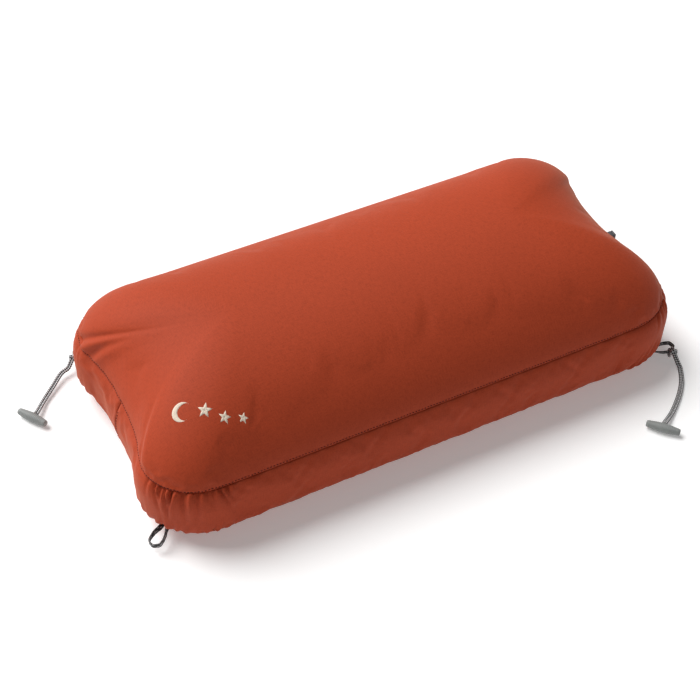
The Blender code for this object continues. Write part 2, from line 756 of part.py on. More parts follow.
def cord_points(tether):
    """The doubled cord's centre line: one strand to the loop, round the tape, and the other one back.

    The strands lie side by side on the ground, one over the other at the toggle, and apart at the tape."""
    wrap = wrap_point(tether)
    towards = (Vector(tether["route"][-1]) - turning_point(tether)).normalized()
    end = turning_point(tether) + Vector((towards.x, towards.y, 0)) * CORD_END
    middle = [end] + [Vector(point) for point in reversed(tether["route"])] + [wrap]
    lower, upper = [], []
    for step in range(ROUTE_STEPS + 1):
        share = step / ROUTE_STEPS
        position = share * (len(middle) - 1)
        point = smooth_point(middle, position)
        ahead = smooth_point(middle, min(position + 0.05, len(middle) - 1)) - smooth_point(
            middle, max(position - 0.05, 0)
        )
        across = Vector((-ahead.y, ahead.x, 0)).normalized()
        lean = math.radians(90) * (1 - ease(share, 0.0, 0.3) + ease(share, 0.7, 1.0))
        apart = STRAND_OFFSET + (WRAP_RADIUS - STRAND_OFFSET) * ease(share, 0.8, 1.0)
        offset = (across * math.cos(lean) + Vector((0, 0, 1)) * math.sin(lean)) * apart
        lower.append(point - offset)
        upper.append(point + offset)
    inward = -heading(tether["leaves"])
    turn = []
    for step in range(1, TURN_STEPS):
        angle = math.pi * step / TURN_STEPS
        side = TAPE_THICKNESS / 2 + WRAP_RADIUS * math.sin(angle)
        turn.append(wrap + inward * side - Vector((0, 0, WRAP_RADIUS * math.cos(angle))))
    return lower + turn + upper[::-1]


def make_cord(name, tether):
    curve = bpy.data.curves.new("cord_" + name, "CURVE")
    curve.dimensions = "3D"
    curve.bevel_depth = CORD_DIAMETER / 2
    curve.bevel_resolution = 2
    curve.use_fill_caps = True
    points = cord_points(tether)
    spline = curve.splines.new("POLY")
    spline.points.add(len(points) - 1)
    for target, point in zip(spline.points, points):
        target.co = (*point, 1)
    link("cord_" + name, curve, "cord", wrap_point(tether))


def toggle_radius(share):
    """Radius of the toggle, share being 0 in the middle and 1 at an end."""
    body = TOGGLE_RADIUS - (TOGGLE_RADIUS - TOGGLE_END_RADIUS) * share**1.5
    rounding = max(share - TOGGLE_END_FROM, 0) / (1 - TOGGLE_END_FROM)
    return body * math.sqrt(1 - 0.9 * rounding**2)


def make_toggle(name, tether):
    """A spindle-shaped toggle with a cord hole across its middle, and the knot in the hole's far mouth."""
    turning = turning_point(tether)
    points_to = heading(tether["toggle_points"])
    centre = turning + points_to * TOGGLE_STANDOFF
    profile = [(-TOGGLE_HALF_LENGTH, 0)]
    for step in range(-7, 8):
        share = step / 7
        profile.append((TOGGLE_HALF_LENGTH * share, toggle_radius(abs(share))))
    profile.append((TOGGLE_HALF_LENGTH, 0))
    toggle = turned(
        "toggle_" + name, profile, centre, "toggle_plastic", TOGGLE_STEPS, closed=False, origin=turning
    )
    spin = Matrix.Rotation(math.radians(tether["toggle_points"] - 90), 4, "Z")
    stay = Matrix.Translation(centre - turning)
    toggle.data.transform(stay @ spin @ stay.inverted())

    frame = Matrix.Translation(centre) @ Matrix.Rotation(math.radians(tether["toggle_points"]), 4, "Z")
    slot = bmesh.new()
    far_corner = Vector((SLOT_HALF_LENGTH, SLOT_HALF_WIDTH, SLOT_HALF_HEIGHT))
    add_box(slot, -far_corner, far_corner)
    slot.transform(frame)
    boolean(toggle, from_bmesh("slot_cutter_" + name, slot, "toggle_plastic"))
    recess = bmesh.new()
    lying = Matrix.Rotation(math.radians(90), 4, "Y")
    bmesh.ops.create_cone(
        recess, cap_ends=True, segments=16, radius1=RECESS_RADIUS, radius2=RECESS_RADIUS,
        depth=SLOT_HALF_LENGTH, matrix=frame @ Matrix.Translation((RECESS_CENTRE, 0, 0)) @ lying,
    )
    boolean(toggle, from_bmesh("recess_cutter_" + name, recess, "toggle_plastic"))

    strands = bmesh.new()
    radius = CORD_DIAMETER / 2
    for side in (-1, 1):
        place = Matrix.Translation((STRAND_INSIDE_CENTRE, 0, side * STRAND_OFFSET)) @ lying
        bmesh.ops.create_cone(
            strands, cap_ends=True, segments=12, radius1=radius, radius2=radius, depth=STRAND_INSIDE_LENGTH,
            matrix=frame @ place,
        )
    strands_item = from_bmesh("strands_" + name, strands, "cord")
    knot = bmesh.new()
    squash = Matrix.Diagonal((0.75, 0.95, 1.0, 1))
    knot_place = frame @ Matrix.Translation((KNOT_CENTRE, 0, 0)) @ squash
    bmesh.ops.create_uvsphere(knot, u_segments=14, v_segments=8, radius=KNOT_RADIUS, matrix=knot_place)
    boolean(from_bmesh("cord_knot_" + name, knot, "cord", turning), strands_item, "UNION")


def main():
    clear_scene()
    front_band, back_band = make_cover()
    bladder_wall = make_filling()
    make_zip(back_band)
    make_slider()
    make_pull()
    make_valve(front_band, bladder_wall)
    for name in LOOPS:
        make_loop(name)
    for name, tether in TETHERS.items():
        make_cord(name, tether)
        make_toggle(name, tether)


main()
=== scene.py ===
"""Looks of the camp pillow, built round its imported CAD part. Metres, +Z up, X along the pillow."""

import json
import math

import bmesh
import bpy
import numpy as np
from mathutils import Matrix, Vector
from mathutils.bvhtree import BVHTree

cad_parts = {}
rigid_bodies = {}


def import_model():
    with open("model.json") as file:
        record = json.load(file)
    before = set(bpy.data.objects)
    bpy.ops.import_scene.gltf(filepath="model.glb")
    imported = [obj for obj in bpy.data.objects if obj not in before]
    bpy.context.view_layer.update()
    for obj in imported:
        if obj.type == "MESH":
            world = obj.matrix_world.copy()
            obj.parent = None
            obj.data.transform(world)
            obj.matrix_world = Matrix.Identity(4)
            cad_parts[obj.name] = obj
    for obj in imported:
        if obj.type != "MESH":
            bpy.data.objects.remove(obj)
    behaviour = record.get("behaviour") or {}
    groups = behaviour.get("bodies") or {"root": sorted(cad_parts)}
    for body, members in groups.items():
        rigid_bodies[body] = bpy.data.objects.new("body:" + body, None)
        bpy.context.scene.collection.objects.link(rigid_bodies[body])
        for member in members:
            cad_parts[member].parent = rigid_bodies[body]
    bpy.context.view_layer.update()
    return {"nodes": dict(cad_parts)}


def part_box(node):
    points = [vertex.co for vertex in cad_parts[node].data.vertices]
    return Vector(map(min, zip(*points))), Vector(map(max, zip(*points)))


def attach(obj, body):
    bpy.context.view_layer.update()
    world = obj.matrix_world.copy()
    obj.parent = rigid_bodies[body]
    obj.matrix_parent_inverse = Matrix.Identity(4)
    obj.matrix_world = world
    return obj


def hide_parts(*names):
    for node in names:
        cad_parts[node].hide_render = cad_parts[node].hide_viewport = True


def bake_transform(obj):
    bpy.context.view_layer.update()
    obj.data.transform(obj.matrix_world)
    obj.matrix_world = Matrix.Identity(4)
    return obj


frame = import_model()

# ---- sizes, from the frame ----

band_low, band_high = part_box("side_band_front")
panel_low, panel_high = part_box("cover_top_panel")
HALF_LENGTH = band_high.x
HALF_WIDTH = -band_low.y
SEAM_INSET = HALF_LENGTH - panel_high.x
BOTTOM_SEAM_Z = band_low.z
TOP_SEAM_Z = panel_low.z
BAND_MIDDLE_Z = 0.028
CROWN_HEIGHT = 0.0921
CROWN_FULLNESS = 1.6
CORNER_RADIUS = 0.041
END_PULL = 0.008
END_CURVE = 2.7
BASE_FLAT_INSET = 0.020
BASE_RING_INSET = 0.036
FLOOR_CLEARANCE = 0.0002

# Columns of the cover's grid on half an end, a corner and a long side, and rows of each panel.
END_COLUMNS, ARC_COLUMNS, SIDE_COLUMNS = 12, 14, 66
CROWN_ROWS, BAND_ROWS, BASE_ROWS = 24, 10, 12
REFINE = 4

# Cloth simulation of the cover.
PRESSURE = 4.0
SLACK = -0.014
FRAMES = 20
MOST_BASE_MOVE = 0.0006
MOST_CROWN_MOVE = 0.0013
MOST_BAND_MOVE = 0.0022
MOST_INWARD_MOVE = 0.0004

# The openings in the bands. The zip's tapes reach past theirs, and stitches go round it.
ZIP_HALF_HEIGHT = 0.0040
ZIP_TAPE_OVERLAP = 0.0040
ZIP_STITCHES_OUT = 0.0016
VALVE_HOLE_RADIUS = 0.0092
VALVE_FLANGE_DEPTH = 0.0046

# Stitches.
STITCH_PITCH = 0.0021
STITCH_LENGTH = 0.0013
STITCH_RADIUS = 0.00030

# Loops and cords, as in the part.
LOOPS = {
    "front_left": (211, 221),
    "front_right": (311, 344),
    "back_left": (126, 147),
    "back_right": (31, 41),
}
LOOP_LENGTH, LOOP_WIDTH, LOOP_Z = 0.0150, 0.0095, 0.0065
TAPE_WIDTH, TAPE_THICKNESS = 0.0034, 0.0008
CORD_DIAMETER = 0.0017
STRAND_OFFSET = 0.00095
TETHERS = {
    "left": {
        "loop": "back_left",
        "leaves": 215,
        "route": [(-0.1960, 0.0793, 0.0038), (-0.2040, 0.0722, 0.0026), (-0.2135, 0.0632, 0.0020)],
        "toggle_turn": (-0.22140, 0.05380),
        "toggle_points": 213.5,
    },
    "right": {
        "loop": "front_right",
        "leaves": 267,
        "route": [
            (0.1826, -0.1010, 0.0018), (0.1775, -0.1100, 0.0012), (0.1705, -0.1180, 0.0012),
            (0.1625, -0.1251, 0.0012), (0.1540, -0.1315, 0.0014),
        ],
        "toggle_turn": (0.14465, -0.13715),
        "toggle_points": 222,
    },
}
TOGGLE_Z = 0.0032
TOGGLE_STANDOFF = 0.0045
TOGGLE_HALF_LENGTH = 0.0113

# Camera.
CAMERA_AZIMUTH, CAMERA_ELEVATION = math.radians(-27.705), math.radians(45.52)
CAMERA_DISTANCE = 0.95
FOCAL_PIXELS = 1440.6
LOOK_AT = Vector((0, 0, 0.050))
AIM_RIGHT, AIM_UP = 23.2, -41.5

SQUARE = ((-1, -1), (1, -1), (1, 1), (-1, 1))

scene = bpy.context.scene


# ---- small helpers ----


def heading(degrees):
    return Vector((math.cos(math.radians(degrees)), math.sin(math.radians(degrees)), 0))


def ease(value, low, high):
    """0 below low, 1 above high, and a smooth step between. Works on numbers and arrays."""
    share = np.clip((value - low) / (high - low), 0, 1)
    return share * share * (3 - 2 * share)


def new_object(name, points, faces):
    mesh = bpy.data.meshes.new(name)
    mesh.from_pydata([tuple(p) for p in points], [], faces)
    mesh.update()
    item = bpy.data.objects.new(name, mesh)
    scene.collection.objects.link(item)
    mesh.shade_smooth()
    return item


def between(a, b, c, d, t):
    """A point of the Catmull-Rom curve between b and c."""
    return (2 * b + (c - a) * t + (2 * a - 5 * b + 4 * c - d) * t**2 + (3 * b - a - 3 * c + d) * t**3) / 2


def lengths_along(points):
    """Distance of each point from the first one, along the line."""
    step = np.linalg.norm(np.diff(points, axis=0), axis=1)
    return np.concatenate([[0], np.cumsum(step)])


def grid_faces(rows, columns, closed=True, skip=None):
    """Quads of a grid whose points are stored row after row."""
    faces = []
    for row in range(rows - 1):
        first, above = row * columns, (row + 1) * columns
        for c in range(columns if closed else columns - 1):
            after = (c + 1) % columns
            if skip is None or not skip[row, c]:
                faces.append((first + c, first + after, above + after, above + c))
    return faces


def capped_faces(rows, columns):
    """Quads of a closed tube of rows, with a flat face on each end."""
    last = (rows - 1) * columns
    ends = [tuple(reversed(range(columns))), tuple(range(last, last + columns))]
    return grid_faces(rows, columns) + ends


def search_tree(mesh):
    points = [tuple(v.co) for v in mesh.vertices]
    return BVHTree.FromPolygons(points, [tuple(p.vertices) for p in mesh.polygons])


def finish_piece(item, body, material, slot, *nodes):
    """Paint a piece, ride it on a body and let it stand for those CAD nodes."""
    item.data.materials.clear()
    item.data.materials.append(material)
    if nodes:
        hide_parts(*nodes)
    if body:
        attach(item, body)
    return item


# ---- materials ----


class Paint:
    """Builds one procedural material, node by node."""

    def __init__(self, name, colour, roughness, **sockets):
        self.material = bpy.data.materials.new(name)
        self.material.use_nodes = True
        self.tree = self.material.node_tree
        self.shader = self.tree.nodes["Principled BSDF"]
        self.colour = colour
        self.shader.inputs["Base Color"].default_value = (*colour, 1)
        self.shader.inputs["Roughness"].default_value = roughness
        for socket, value in sockets.items():
            self.shader.inputs[socket.replace("_", " ")].default_value = value
        self.material.diffuse_color = (*colour, 1)
        self.last_colour = None

    def node(self, kind, **settings):
        made = self.tree.nodes.new("ShaderNode" + kind)
        for key, value in settings.items():
            if key in made.bl_rna.properties:
                setattr(made, key, value)
            else:
                made.inputs[key.replace("_", " ")].default_value = value
        return made

    def wire(self, source, target):
        self.tree.links.new(source, target)

    def place(self, scale=(1, 1, 1), uv=None):
        """Coordinates: a piece's own unwrapped cloth in metres if uv is given, or else its place."""
        if uv:
            source = self.node("UVMap", uv_map=uv).outputs["UV"]
        else:
            source = self.node("TexCoord").outputs["Object"]
        mapping = self.node("Mapping")
        mapping.inputs["Scale"].default_value = scale
        self.wire(source, mapping.inputs["Vector"])
        return mapping.outputs["Vector"]

    def noise(self, scale, detail=2.0, stretch=(1, 1, 1), uv=None):
        made = self.node("TexNoise", Scale=scale, Detail=detail)
        self.wire(self.place(stretch, uv), made.inputs["Vector"])
        return made.outputs["Fac"]

    def levels(self, value, low, high, to_low=0.0, to_high=1.0):
        made = self.node("MapRange", clamp=True)
        for socket, number in zip(("From Min", "From Max", "To Min", "To Max"), (low, high, to_low, to_high)):
            made.inputs[socket].default_value = number
        self.wire(value, made.inputs["Value"])
        return made.outputs["Result"]

    def math(self, first, operation, second):
        """Arithmetic on a socket and either another socket or a number."""
        made = self.node("Math", operation=operation)
        self.wire(first, made.inputs[0])
        if isinstance(second, (int, float)):
            made.inputs[1].default_value = second
        else:
            self.wire(second, made.inputs[1])
        return made.outputs["Value"]

    def tint(self, share, colour):
        """Blend the colour so far towards another where share is high."""
        mix = self.node("Mix", data_type="RGBA")
        factor, first, second = mix.inputs[0], mix.inputs[6], mix.inputs[7]
        self.wire(share, factor)
        if self.last_colour is None:
            first.default_value = (*self.colour, 1)
        else:
            self.wire(self.last_colour, first)
        second.default_value = (*colour, 1)
        self.last_colour = mix.outputs[2]
        self.wire(self.last_colour, self.shader.inputs["Base Color"])
        return self

    def rough(self, value, low, high):
        self.wire(self.levels(value, 0.25, 0.75, low, high), self.shader.inputs["Roughness"])
        return self

    def bump(self, height, distance, strength=1.0):
        made = self.node("Bump", Strength=strength, Distance=distance)
        self.wire(height, made.inputs["Height"])
        if self.shader.inputs["Normal"].links:
            self.wire(self.shader.inputs["Normal"].links[0].from_socket, made.inputs["Normal"])
        self.wire(made.outputs["Normal"], self.shader.inputs["Normal"])
        return self

    def wave(self, scale, direction, uv=None):
        made = self.node("TexWave", Scale=scale, Distortion=0.0, bands_direction=direction)
        self.wire(self.place((1, 1, 1), uv), made.inputs["Vector"])
        return made.outputs["Fac"]


def shade(colour, factor):
    return tuple(min(channel * factor, 1.0) for channel in colour)


def woven(name, colour, uv=None, threads=3200, sheen=0.12, roughness=0.56, slub=0.20, tint=(1, 0.50, 0.24)):
    """Plain-weave cloth: slubs along both threads, flecks, soft broad variation and a sheen."""
    paint = Paint(name, colour, roughness, Sheen_Weight=sheen, Sheen_Roughness=0.35, Specular_IOR_Level=0.12)
    paint.shader.inputs["Sheen Tint"].default_value = (*tint, 1)
    warp = paint.noise(1.0, 2.0, (260, 2600, 900), uv)
    weft = paint.noise(1.0, 2.0, (2600, 260, 900), uv)
    both = paint.math(warp, "ADD", weft)
    paint.tint(paint.levels(both, 0.86, 1.16, 0.0, slub * 2), shade(colour, 1.28))
    paint.tint(paint.levels(both, 1.0, 0.74, 0.0, slub * 2), shade(colour, 0.70))
    flecks = paint.noise(1500, 1.0, (1, 1, 1), uv)
    paint.tint(paint.levels(flecks, 0.66, 0.74, 0.0, 0.35), shade(colour, 1.55))
    broad = paint.noise(16, 3.0, (1, 1, 1), uv)
    paint.tint(paint.levels(broad, 0.35, 0.70, 0.0, 0.16), shade(colour, 0.80))
    paint.rough(both if roughness < 0.9 else broad, roughness - 0.07, roughness + 0.08)
    ribs = paint.math(paint.wave(threads / 20, "X", uv), "ADD", paint.wave(threads / 20, "Y", uv))
    paint.bump(ribs, 0.00003, 0.5)
    paint.bump(both, 0.00008, 0.45)
    return paint


def plastic(name, colour, roughness=0.42, grain=900, metallic=0.0):
    """Moulded plastic or painted metal: fine grain, faint flow marks and slightly rubbed patches."""
    paint = Paint(name, colour, roughness, Metallic=metallic, Specular_IOR_Level=0.45)
    fine, broad = paint.noise(grain, 3.0), paint.noise(70, 2.0)
    paint.tint(paint.levels(broad, 0.35, 0.75, 0.0, 0.35), shade(colour, 1.35))
    paint.tint(paint.levels(fine, 0.55, 0.75, 0.0, 0.25), shade(colour, 0.72))
    paint.rough(fine, roughness - 0.08, roughness + 0.12)
    paint.bump(fine, 0.00006, 0.4)
    return paint


COVER_COLOUR = (0.385, 0.052, 0.0185)
WEAVE = "weave"


def cover_paint():
    paint = woven("cover_cloth", COVER_COLOUR, WEAVE)
    seam_shade_mask = paint.node("Attribute", attribute_name="seam_shade_mask").outputs["Fac"]
    # Painted shade: the cloth turns darker close to each seam, where it dips into the seam's groove.
    paint.tint(paint.levels(seam_shade_mask, 0.0, 1.0, 0.0, 0.10), shade(COVER_COLOUR, 0.6))
    return paint.material


def braid_paint():
    """A braided cover: light tracer threads that cross a dark ground."""
    dark, light = (0.045, 0.045, 0.048), (0.80, 0.80, 0.80)
    pitch, around = 0.0030, 2.0
    paint = Paint("flecked_braid", dark, 0.75, Sheen_Weight=0.25, Sheen_Roughness=0.4, Specular_IOR_Level=0.3)
    uv = paint.node("UVMap", uv_map=WEAVE).outputs["UV"]
    split = paint.node("SeparateXYZ")
    paint.wire(uv, split.inputs["Vector"])
    along = paint.math(split.outputs["X"], "MULTIPLY", math.tau / pitch)
    turn = paint.math(split.outputs["Y"], "MULTIPLY", math.tau * around)
    lay = [paint.math(paint.math(along, way, turn), "SINE", 0) for way in ("ADD", "SUBTRACT")]
    crossing = paint.math(lay[0], "MULTIPLY", lay[1])
    paint.tint(paint.levels(crossing, 0.0, 0.25, 0.0, 0.95), light)
    fuzz = paint.noise(2600, 2.0, (1, 1, 1))
    paint.tint(paint.levels(fuzz, 0.5, 0.75, 0.0, 0.35), shade(dark, 0.5))
    paint.bump(crossing, 0.00012, 0.7)
    return paint.material


def tape_paint():
    """Narrow black woven tape with pale reflective flecks in rows."""
    dark = (0.030, 0.027, 0.028)
    paint = Paint("flecked_tape", dark, 0.72, Sheen_Weight=0.2, Specular_IOR_Level=0.3)
    dashes = paint.noise(1.0, 0.0, (420, 1500, 1), WEAVE)
    paint.tint(paint.levels(dashes, 0.60, 0.66, 0.0, 0.95), (0.62, 0.62, 0.62))
    ribs = paint.wave(110, "X", WEAVE)
    paint.tint(paint.levels(ribs, 0.3, 0.9, 0.0, 0.35), (0.075, 0.072, 0.075))
    paint.bump(ribs, 0.0001, 0.6)
    return paint.material


def make_paints():
    return {
        "cover": cover_paint(),
        "cover_trim": woven("cover_binding", shade(COVER_COLOUR, 0.72), threads=3000, slub=0.3).material,
        "stitch": woven("stitch_thread", (0.075, 0.009, 0.007), threads=6000, sheen=0.15, slub=0.3).material,
        "mark": woven("printed_mark", (0.74, 0.62, 0.50), threads=3200, sheen=0.1, slub=0.16).material,
        "wadding": woven(
            "polyester_wadding", (0.85, 0.84, 0.80), threads=700, roughness=0.93, slub=0.3
        ).material,
        "lining": woven("thin_lining", (0.33, 0.07, 0.04), threads=3600).material,
        "film": plastic("bladder_film", (0.45, 0.47, 0.50), 0.38, 400).material,
        "valve": plastic("valve_plastic", (0.085, 0.085, 0.092), 0.42).material,
        "rubber": plastic("valve_rubber", (0.50, 0.51, 0.52), 0.62, 1200).material,
        "zip_tape": woven(
            "zip_tape_weave", shade(COVER_COLOUR, 0.62), threads=1800, sheen=0.15, slub=0.35
        ).material,
        "zip_teeth": plastic("zip_coil", (0.22, 0.036, 0.018), 0.36).material,
        "zip_metal": plastic("painted_slider", (0.10, 0.10, 0.105), 0.38, 1500, 0.75).material,
        "toggle": plastic("toggle_plastic", (0.245, 0.258, 0.250), 0.50, 1100).material,
        "cord": braid_paint(),
        "tape": tape_paint(),
    }


paints = make_paints()


# ---- camera, light and floor ----

WORLD_STRENGTH = 0.11
KEY_STRENGTH, FILL_STRENGTH = 4.25, 0.22
FLOOR_GLOW = 0.22  # lightens the shadows, as the photo has next to none
FLOOR_REACH, FLOOR_Z = 3.0, -0.0004


def make_camera():
    az, el = CAMERA_AZIMUTH, CAMERA_ELEVATION
    back = Vector((math.sin(az) * math.cos(el), -math.cos(az) * math.cos(el), math.sin(el)))
    right = Vector((math.cos(az), math.sin(az), 0))
    up = back.cross(right)
    aim = -back - right * (AIM_RIGHT / FOCAL_PIXELS) + up * (AIM_UP / FOCAL_PIXELS)
    data = bpy.data.cameras.new("camera")
    data.sensor_width = 36
    data.lens = FOCAL_PIXELS / 700 * data.sensor_width
    camera = bpy.data.objects.new("camera", data)
    camera.location = LOOK_AT + back * CAMERA_DISTANCE
    camera.rotation_mode = "QUATERNION"
    camera.rotation_quaternion = aim.to_track_quat("-Z", "Y")
    scene.collection.objects.link(camera)
    scene.camera = camera


def sun_light(name, comes_from, strength, spread):
    """A broad soft light from one side, as even over the floor as over the pillow."""
    data = bpy.data.lights.new(name, "SUN")
    data.energy = strength
    data.angle = math.radians(spread)
    light = bpy.data.objects.new(name, data)
    light.location = Vector(comes_from)
    light.rotation_euler = Vector(comes_from).to_track_quat("Z", "Y").to_euler()
    scene.collection.objects.link(light)


def make_studio():
    world = bpy.data.worlds.new("studio")
    world.use_nodes = True
    world.node_tree.nodes["Background"].inputs["Color"].default_value = (1, 1, 1, 1)
    world.node_tree.nodes["Background"].inputs["Strength"].default_value = WORLD_STRENGTH
    scene.world = world
    scene.view_settings.view_transform = "Standard"
    sun_light("key", (-0.40, 0.74, 0.95), KEY_STRENGTH, 50)
    sun_light("front_fill", (0.35, -1.0, 0.5), FILL_STRENGTH, 70)
    paint = Paint("pale_floor", (0.93, 0.93, 0.925), 0.8, Specular_IOR_Level=0.1)
    paint.shader.inputs["Emission Color"].default_value = (1, 1, 1, 1)
    paint.shader.inputs["Emission Strength"].default_value = FLOOR_GLOW
    mottle = paint.noise(3.0, 2.0)
    paint.tint(paint.levels(mottle, 0.3, 0.7, 0.0, 0.3), (0.91, 0.91, 0.905))
    corners = [(x * FLOOR_REACH, y * FLOOR_REACH, 0) for x, y in SQUARE]
    floor = new_object("floor", corners, [(0, 1, 2, 3)])
    floor.location.z = FLOOR_Z
    floor.data.materials.append(paint.material)


# ---- tubes, for cords and other long round things ----


def curve_through(points, spacing):
    """Evenly spaced points along the Catmull-Rom curve through the given ones."""
    p = np.array([tuple(q) for q in points], float)
    p = np.vstack([2 * p[0] - p[1], p, 2 * p[-1] - p[-2]])
    fine = []
    for i in range(1, len(p) - 2):
        t = np.linspace(0, 1, 24, endpoint=False)[:, None]
        fine.append(between(p[i - 1], p[i], p[i + 1], p[i + 2], t))
    fine = np.vstack(fine + [p[-2][None]])
    along = lengths_along(fine)
    count = max(int(round(along[-1] / spacing)), 2)
    wanted = np.linspace(0, along[-1], count + 1)
    return np.stack([np.interp(wanted, along, fine[:, k]) for k in range(3)], 1)


def frames_along(points):
    """A sideways and an up direction at each point, carried along without twist."""
    ahead = np.gradient(points, axis=0)
    ahead /= np.linalg.norm(ahead, axis=1)[:, None]
    side = np.cross(ahead[0], (0, 0, 1.0))
    if np.linalg.norm(side) < 1e-6:
        side = np.array((1.0, 0, 0))
    sides = []
    for direction in ahead:
        side = side - direction * side.dot(direction)
        side = side / np.linalg.norm(side)
        sides.append(side)
    sides = np.array(sides)
    return sides, np.cross(sides, ahead)


def tube(name, points, radius, around=10):
    """A round tube with cloth coordinates: length along, share of the turn around."""
    sides, ups = frames_along(points)
    turns = np.arange(around) * math.tau / around
    rings = points[:, None] + radius * (
        sides[:, None] * np.cos(turns)[None, :, None] + ups[:, None] * np.sin(turns)[None, :, None]
    )
    item = new_object(name, rings.reshape(-1, 3), capped_faces(len(points), around))
    length = lengths_along(points)
    layer = item.data.uv_layers.new(name=WEAVE)
    for polygon in item.data.polygons:
        corners = list(polygon.loop_indices)
        rows = [item.data.loops[c].vertex_index // around for c in corners]
        columns = [item.data.loops[c].vertex_index % around for c in corners]
        wraps = max(columns) - min(columns) > 1
        for corner, row, column in zip(corners, rows, columns):
            turn = 1.0 if wraps and column == 0 else column / around
            layer.data[corner].uv = (length[row], turn)
    return item


# ---- cords and toggles ----


def corner_centre(degrees):
    side_x = math.copysign(HALF_LENGTH - CORNER_RADIUS, math.cos(math.radians(degrees)))
    side_y = math.copysign(HALF_WIDTH - CORNER_RADIUS, math.sin(math.radians(degrees)))
    return Vector((side_x, side_y, 0))


def loop_frame(name):
    """Root on the seam, pointing direction and sideways direction of a loop."""
    around, points = LOOPS[name]
    root = corner_centre(around) + heading(around) * (CORNER_RADIUS - SEAM_INSET + 0.001)
    return root, heading(points), heading(points - 90)


def wrap_point(tether):
    """Where the cord goes round the tape, at the tape's middle."""
    root, ahead, _ = loop_frame(tether["loop"])
    bend = root + ahead * (LOOP_LENGTH - LOOP_WIDTH / 2)
    away = heading(tether["leaves"])
    return bend + away * (LOOP_WIDTH - 0.001) / 2 + Vector((0, 0, LOOP_Z))


def hitch_points(wrap, away):
    """A lark's head round the tape, from the standing part of one strand to its bight. In
    (outward, sideways, up) from the middle of the tape: over it, down inside the loop, under it,
    up outside, and across the two standing strands."""
    across = Vector((-away.y, away.x, 0))
    half = [
        (4.6, 0.90, 0.9), (3.0, 0.88, 2.1), (1.3, 0.88, 2.75), (-0.3, 0.9, 2.65), (-1.35, 0.95, 1.5),
        (-1.5, 1.0, 0.0), (-1.3, 1.1, -1.6), (-0.2, 1.35, -2.7), (1.3, 1.7, -2.5), (2.2, 2.2, -1.0),
        (2.55, 2.45, 0.9), (2.75, 2.0, 2.9), (2.85, 0.9, 3.85), (2.85, 0.0, 4.0),
    ]
    return [wrap + (away * e + across * n + Vector((0, 0, u))) * 0.001 for e, n, u in half]


def cord_route(tether):
    """The doubled cord's whole line: from the toggle, round the loop in a lark's head, and back."""
    wrap = wrap_point(tether)
    away = heading(tether["leaves"])
    across_hitch = Vector((-away.y, away.x, 0))
    turning = Vector((*tether["toggle_turn"], TOGGLE_Z))
    inside = turning + heading(tether["toggle_points"]) * (TOGGLE_STANDOFF - 0.0008)
    middle = [inside, turning] + [Vector(p) for p in reversed(tether["route"])]
    middle.append(wrap + away * 0.0092 + Vector((0, 0, -0.0020)))
    strands = []
    for side in (1, -1):
        strand = []
        for index, point in enumerate(middle):
            before, after = middle[max(index - 1, 0)], middle[min(index + 1, len(middle) - 1)]
            ahead = (after - before).normalized()
            across = Vector((ahead.y, -ahead.x, 0)).normalized()
            if across.dot(across_hitch) < 0:
                across = -across
            strand.append(point + across * side * STRAND_OFFSET)
        half = hitch_points(wrap, away)
        if side < 0:
            half = [p - across_hitch * 2 * (p - wrap).dot(across_hitch) for p in half]
        strands.append(strand + half)
    return strands[0] + strands[1][-2::-1]


def spun(name, profile, steps, centre, axis, side):
    """A body turned about axis through centre: the profile is (place along the axis, radius)."""
    axis, side = Vector(axis).normalized(), Vector(side).normalized()
    other = axis.cross(side)
    points = []
    for along, radius in profile:
        for k in range(steps):
            turn = math.tau * k / steps
            points.append(centre + axis * along + (side * math.cos(turn) + other * math.sin(turn)) * radius)
    return new_object(name, points, capped_faces(len(profile), steps))


TOGGLE_RADIUS, TOGGLE_TAPER, RIB_DEPTH = 0.0033, 0.0012, 0.00016


def toggle_profile():
    """Spindle with fine ribs over its body and plain rounded ends."""
    rows = []
    ribs, samples = 15, 150
    for k in range(samples + 1):
        share = -1 + 2 * k / samples
        size = abs(share)
        radius = TOGGLE_RADIUS - TOGGLE_TAPER * size**1.7
        if size > 0.93:
            radius *= 0.55 + 0.45 * math.sqrt(max(1 - ((size - 0.93) / 0.07) ** 2, 0))
        rib = RIB_DEPTH * (0.5 + 0.5 * math.cos(math.tau * share * ribs / 1.6)) * (1 - ease(size, 0.76, 0.84))
        rows.append((share * TOGGLE_HALF_LENGTH, radius - rib))
    return rows


# The collar round the cord's hole: (place along the cord, radius).
COLLAR_PROFILE = (
    (-0.0026, 0.0020), (-0.0031, 0.0023), (-0.0034, 0.0023),
    (-0.0035, 0.0021), (-0.0034, 0.0017), (-0.0024, 0.0016),
)
COLLAR_NARROWING = 0.35  # its hole is taller than it is wide


